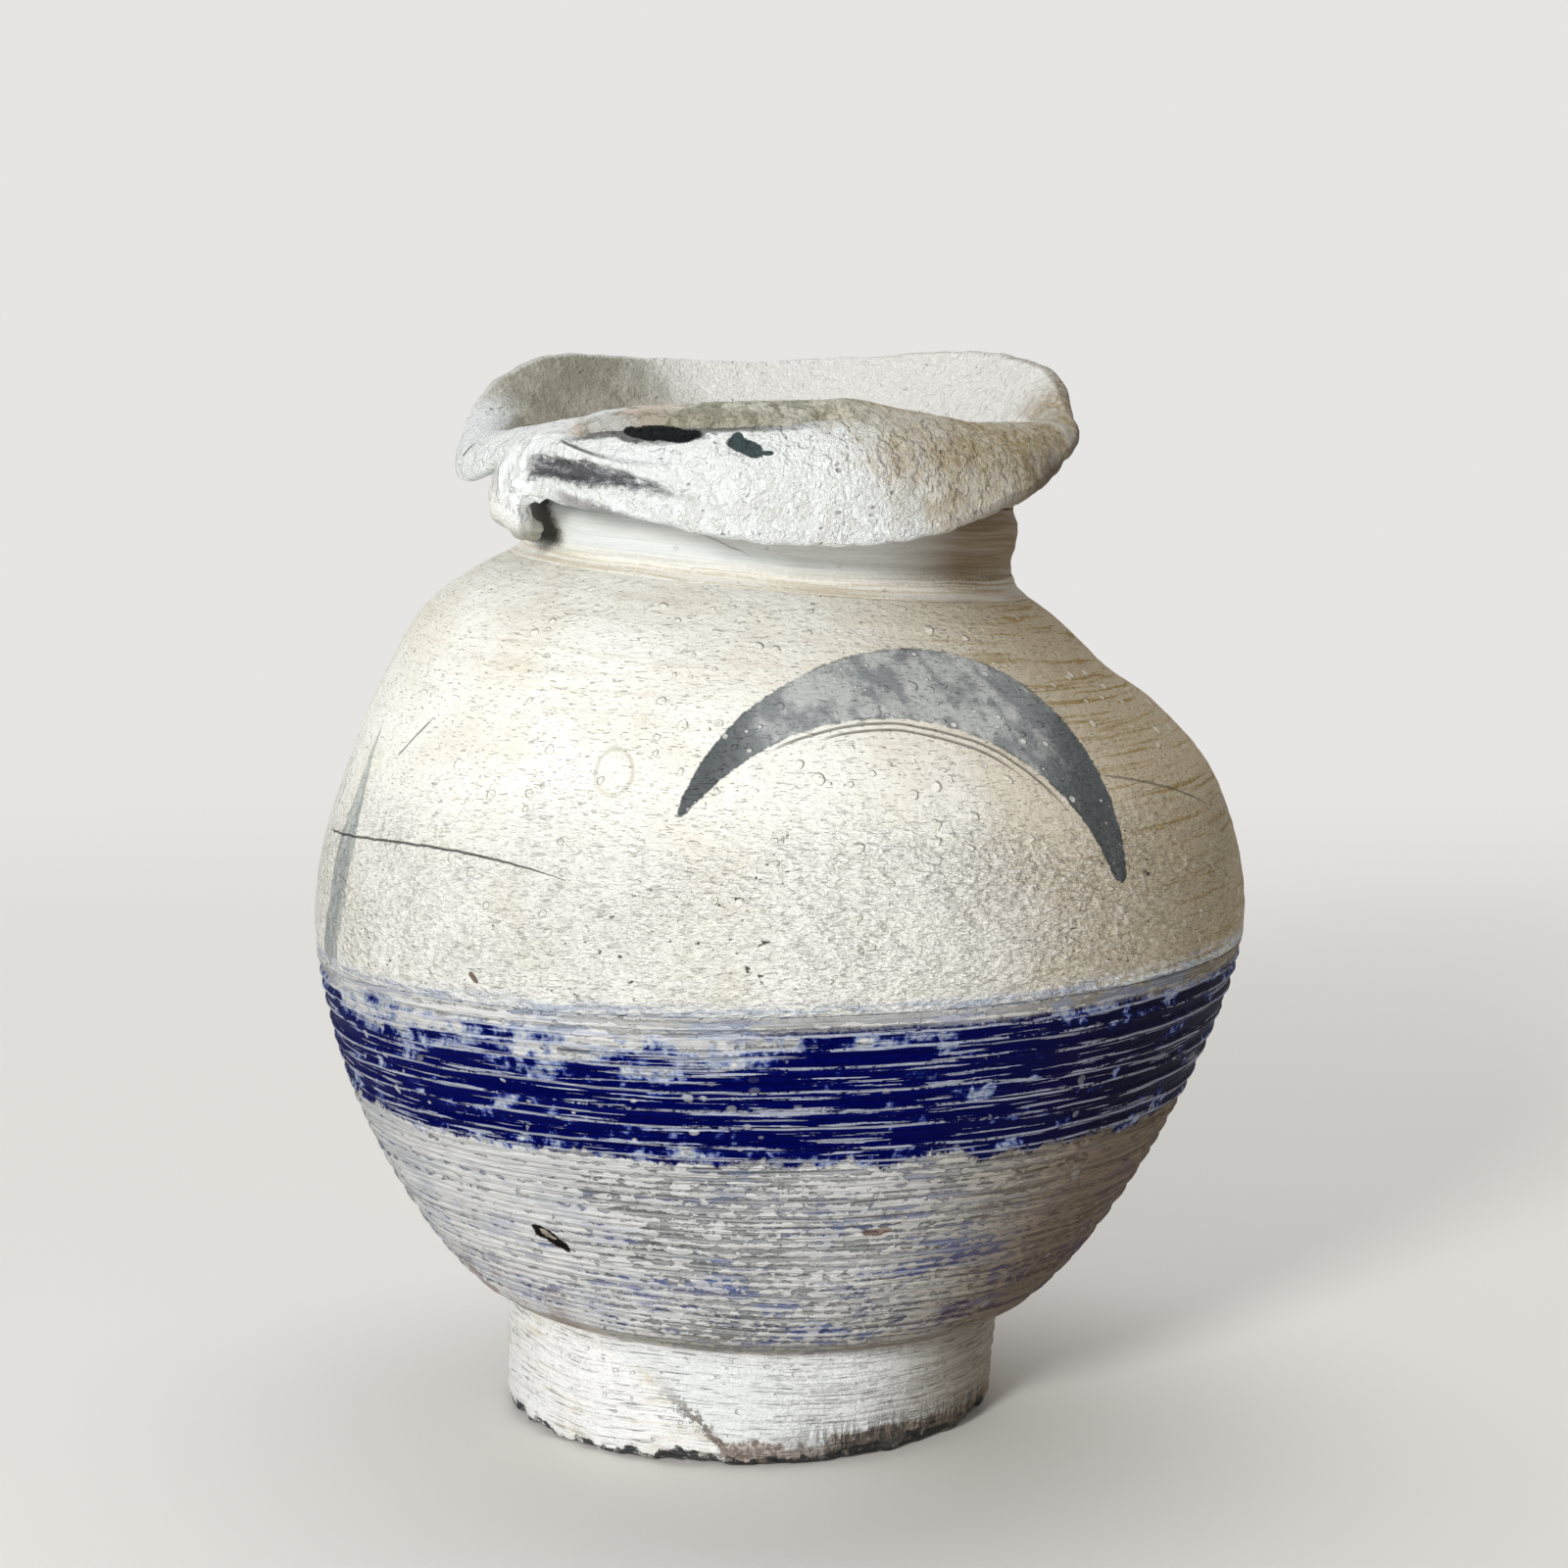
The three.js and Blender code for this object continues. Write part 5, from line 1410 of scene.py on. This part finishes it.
def curlMaterial(values):
    tree, here, f = startMaterial("gathered lobe slip", 1.3, 0.2, 0.3, 0.7, 4.0, 1.0)
    tones = painted(values["tones"])
    turn, rise = f["Turn"], f["Rise"]
    tone = useGroup(tree, rimTone, {"Vector": here, "Turn": turn, "Rise": rise})
    colour, rough = tone["Colour"], tone["Rough"]
    # painted shade in the creases of the folds
    fold = ramp(noise(stretch(here, 1.5, 1.5, 0.5), 170, 3.0, 0.6), 0.54, 0.66)
    colour = mix(colour, tones["pale"], ramp(turn, 224, 214) * 0.5)
    colour = mix(colour, tones["dark"], fold * 0.22)
    x, y, z = parts(stretch(here, 1000, 1000, 1000))
    pool = useGroup(tree, greyPool, {"Vector": here, "Across": x, "Up": z})
    onFront = ramp(y, -35, -50)
    colour = mix(colour, tones["grey"], pool["Mask"] * onFront * 0.85)
    colour = mix(colour, tones["coal"], pool["Core"] * onFront * 0.85)
    # painted shade on the lowest part of the lobe, close over the shoulder
    under = fall(rise + rough * 3, 236.5, 240.5)
    colour = mix(colour, tones["under"], under * 0.5)
    return finishMaterial(f, colour, 0.82 - f["Specks"] * 0.1, f["Height"] * 0.9 - fold * 0.7, 0.0008)


def makeCurl(values, sheet):
    stations = np.array(values["path"], float)
    turn = np.radians(stations[:, 0])
    radius = sheet["rootRadius"] + stations[:, 1]
    places = np.column_stack([radius * np.cos(turn), radius * np.sin(turn),
                              vase["neckTop"] + stations[:, 2]])
    steps, sides = values["steps"], values["sides"]
    way = catmull(places[None], steps)[0]
    tangent = np.gradient(way, axis=0)
    tangent /= np.linalg.norm(tangent, axis=1)[:, None]
    outward = way * (1, 1, 0)
    outward /= np.linalg.norm(outward, axis=1)[:, None]
    across = np.cross(tangent, outward)
    across /= np.linalg.norm(across, axis=1)[:, None]
    through = np.cross(across, tangent)
    share = np.linspace(0, 1, steps)
    marks = [(i / (len(stations) - 1), *row[3:]) for i, row in enumerate(stations)]
    tall, thick = (stationValues(marks, i, share) for i in (1, 2))
    ring = np.linspace(0, math.tau, sides, endpoint=False)
    sections = []
    for i in range(steps):
        t = share[i]
        # creases run along the roll and wander round it
        crease = (0.07 * np.sin(ring * 3 + 1.2 + t * 5) + 0.05 * np.sin(ring * 5 + t * 9)
                  + 0.035 * np.sin(ring * 9 - t * 7))
        crease *= smoothstep(0, 0.4, t)
        lump = 1 + 0.07 * math.sin(t * 19) * min(1, t * 3)
        reach = (1 + crease) * lump
        sections.append(way[i] + across[i] * (np.cos(ring) * reach * tall[i])[:, None]
                        + through[i] * (np.sin(ring) * reach * thick[i])[:, None])
    piece = loftMesh("pleatCurl", np.array(sections), False)
    piece = runTree(piece, skinTree, values["skin"], curlMaterial(values), piece.name)
    return finishPiece(piece, "pleat_curl")


makeCurl(pleatCurl, rimSheet)

# floor, light and camera

studio = {
    "floor": "#f3f1ed", "backdrop": "#e6e5e3", "floorHalf": 3.0, "sky": 0.36,
    # name, place, size, power, colour, and the point it is aimed at
    "lamps": [("window", (-0.78, -1.78, 0.8), 0.4, 29.4, (1.0, 0.995, 0.98), (0, 0, 0.14)),
              ("ceiling", (0.0, 1.3, 2.2), 3.0, 30.0, (1.0, 1.0, 1.0), (0, 1.3, 0)),
              ("warm fill", (1.4, -0.4, 0.3), 1.0, 1.1, (1.0, 0.72, 0.48), (0, 0, 0.14))],
    "lens": 77.0, "cameraAt": (0.001, -0.914, 0.287), "cameraTilt": 82.8,
}


def seenDirectly(tree):
    way = addNode(tree, "ShaderNodeLightPath")
    seen = calc("MAXIMUM", field(way.outputs["Is Camera Ray"]), field(way.outputs["Is Glossy Ray"]))
    return calc("MAXIMUM", seen, field(way.outputs["Is Transmission Ray"]))


def floorMaterial(values):
    # pale floor that keeps the shadow near the pot and fades into the background further out
    material = bpy.data.materials.new("pale floor")
    material.use_nodes = True
    tree = material.node_tree
    shader = tree.nodes["Principled BSDF"]
    here = made(tree, "ShaderNodeTexCoord", None, "Object")
    base = paint(values["floor"])
    darker = tuple(c * 0.94 for c in base[:3]) + (1,)
    connect(mix(base, darker, noise(here, 3.0, 4.0)), shader.inputs["Base Color"])
    shader.inputs["Roughness"].default_value = 0.7
    far = addNode(tree, "ShaderNodeVectorMath", {0: here}, operation="LENGTH")
    glow = addNode(tree, "ShaderNodeEmission", {"Color": paint(values["backdrop"]), "Strength": 1.0})
    blend = addNode(tree, "ShaderNodeMixShader",
                    {0: ramp(field(far.outputs["Value"]), 0.45, 1.5) * seenDirectly(tree)})
    tree.links.new(shader.outputs[0], blend.inputs[1])
    tree.links.new(glow.outputs[0], blend.inputs[2])
    tree.links.new(blend.outputs[0], tree.nodes["Material Output"].inputs[0])
    return material


def makeFloor(values):
    half = values["floorHalf"]
    mesh = bpy.data.meshes.new("floor")
    corners = [(-half, -half, 0), (half, -half, 0), (half, half, 0), (-half, half, 0)]
    mesh.from_pydata(corners, [], [(0, 1, 2, 3)])
    floor = bpy.data.objects.new("floor", mesh)
    bpy.context.scene.collection.objects.link(floor)
    mesh.materials.append(floorMaterial(values))


def makeLight(name, at, size, power, colour, aim):
    lamp = bpy.data.lights.new(name, "AREA")
    lamp.shape = "DISK"
    lamp.size = size
    lamp.energy = power
    lamp.color = colour
    holder = bpy.data.objects.new(name, lamp)
    holder.location = at
    way = np.array(aim) - np.array(at)
    flat = math.hypot(way[0], way[1])
    holder.rotation_euler = (math.atan2(flat, -way[2]), 0, math.atan2(-way[0], way[1]))
    bpy.context.scene.collection.objects.link(holder)


def makeSky(values):
    world = bpy.data.worlds.new("soft room")
    bpy.context.scene.world = world
    world.use_nodes = True
    tree = world.node_tree
    tree.nodes.clear()
    seen = seenDirectly(tree)
    backdrop = paint(values["backdrop"])
    shade = addNode(tree, "ShaderNodeBackground", {"Color": backdrop, "Strength": values["sky"]})
    plain = addNode(tree, "ShaderNodeBackground", {"Color": backdrop, "Strength": 1.0})
    blend = addNode(tree, "ShaderNodeMixShader", {0: seen})
    tree.links.new(shade.outputs[0], blend.inputs[1])
    tree.links.new(plain.outputs[0], blend.inputs[2])
    output = addNode(tree, "ShaderNodeOutputWorld")
    tree.links.new(blend.outputs[0], output.inputs[0])


def makeCamera(values):
    lens = bpy.data.cameras.new("photo view")
    lens.lens = values["lens"]
    lens.sensor_width = 36.0
    camera = bpy.data.objects.new("photo view", lens)
    camera.location = values["cameraAt"]
    camera.rotation_euler = (math.radians(values["cameraTilt"]), 0, 0)
    bpy.context.scene.collection.objects.link(camera)
    bpy.context.scene.camera = camera


makeFloor(studio)
for lamp in studio["lamps"]:
    makeLight(*lamp)
makeSky(studio)
makeCamera(studio)
bpy.context.scene.view_settings.view_transform = "Standard"
print("pottery vase: room lit")
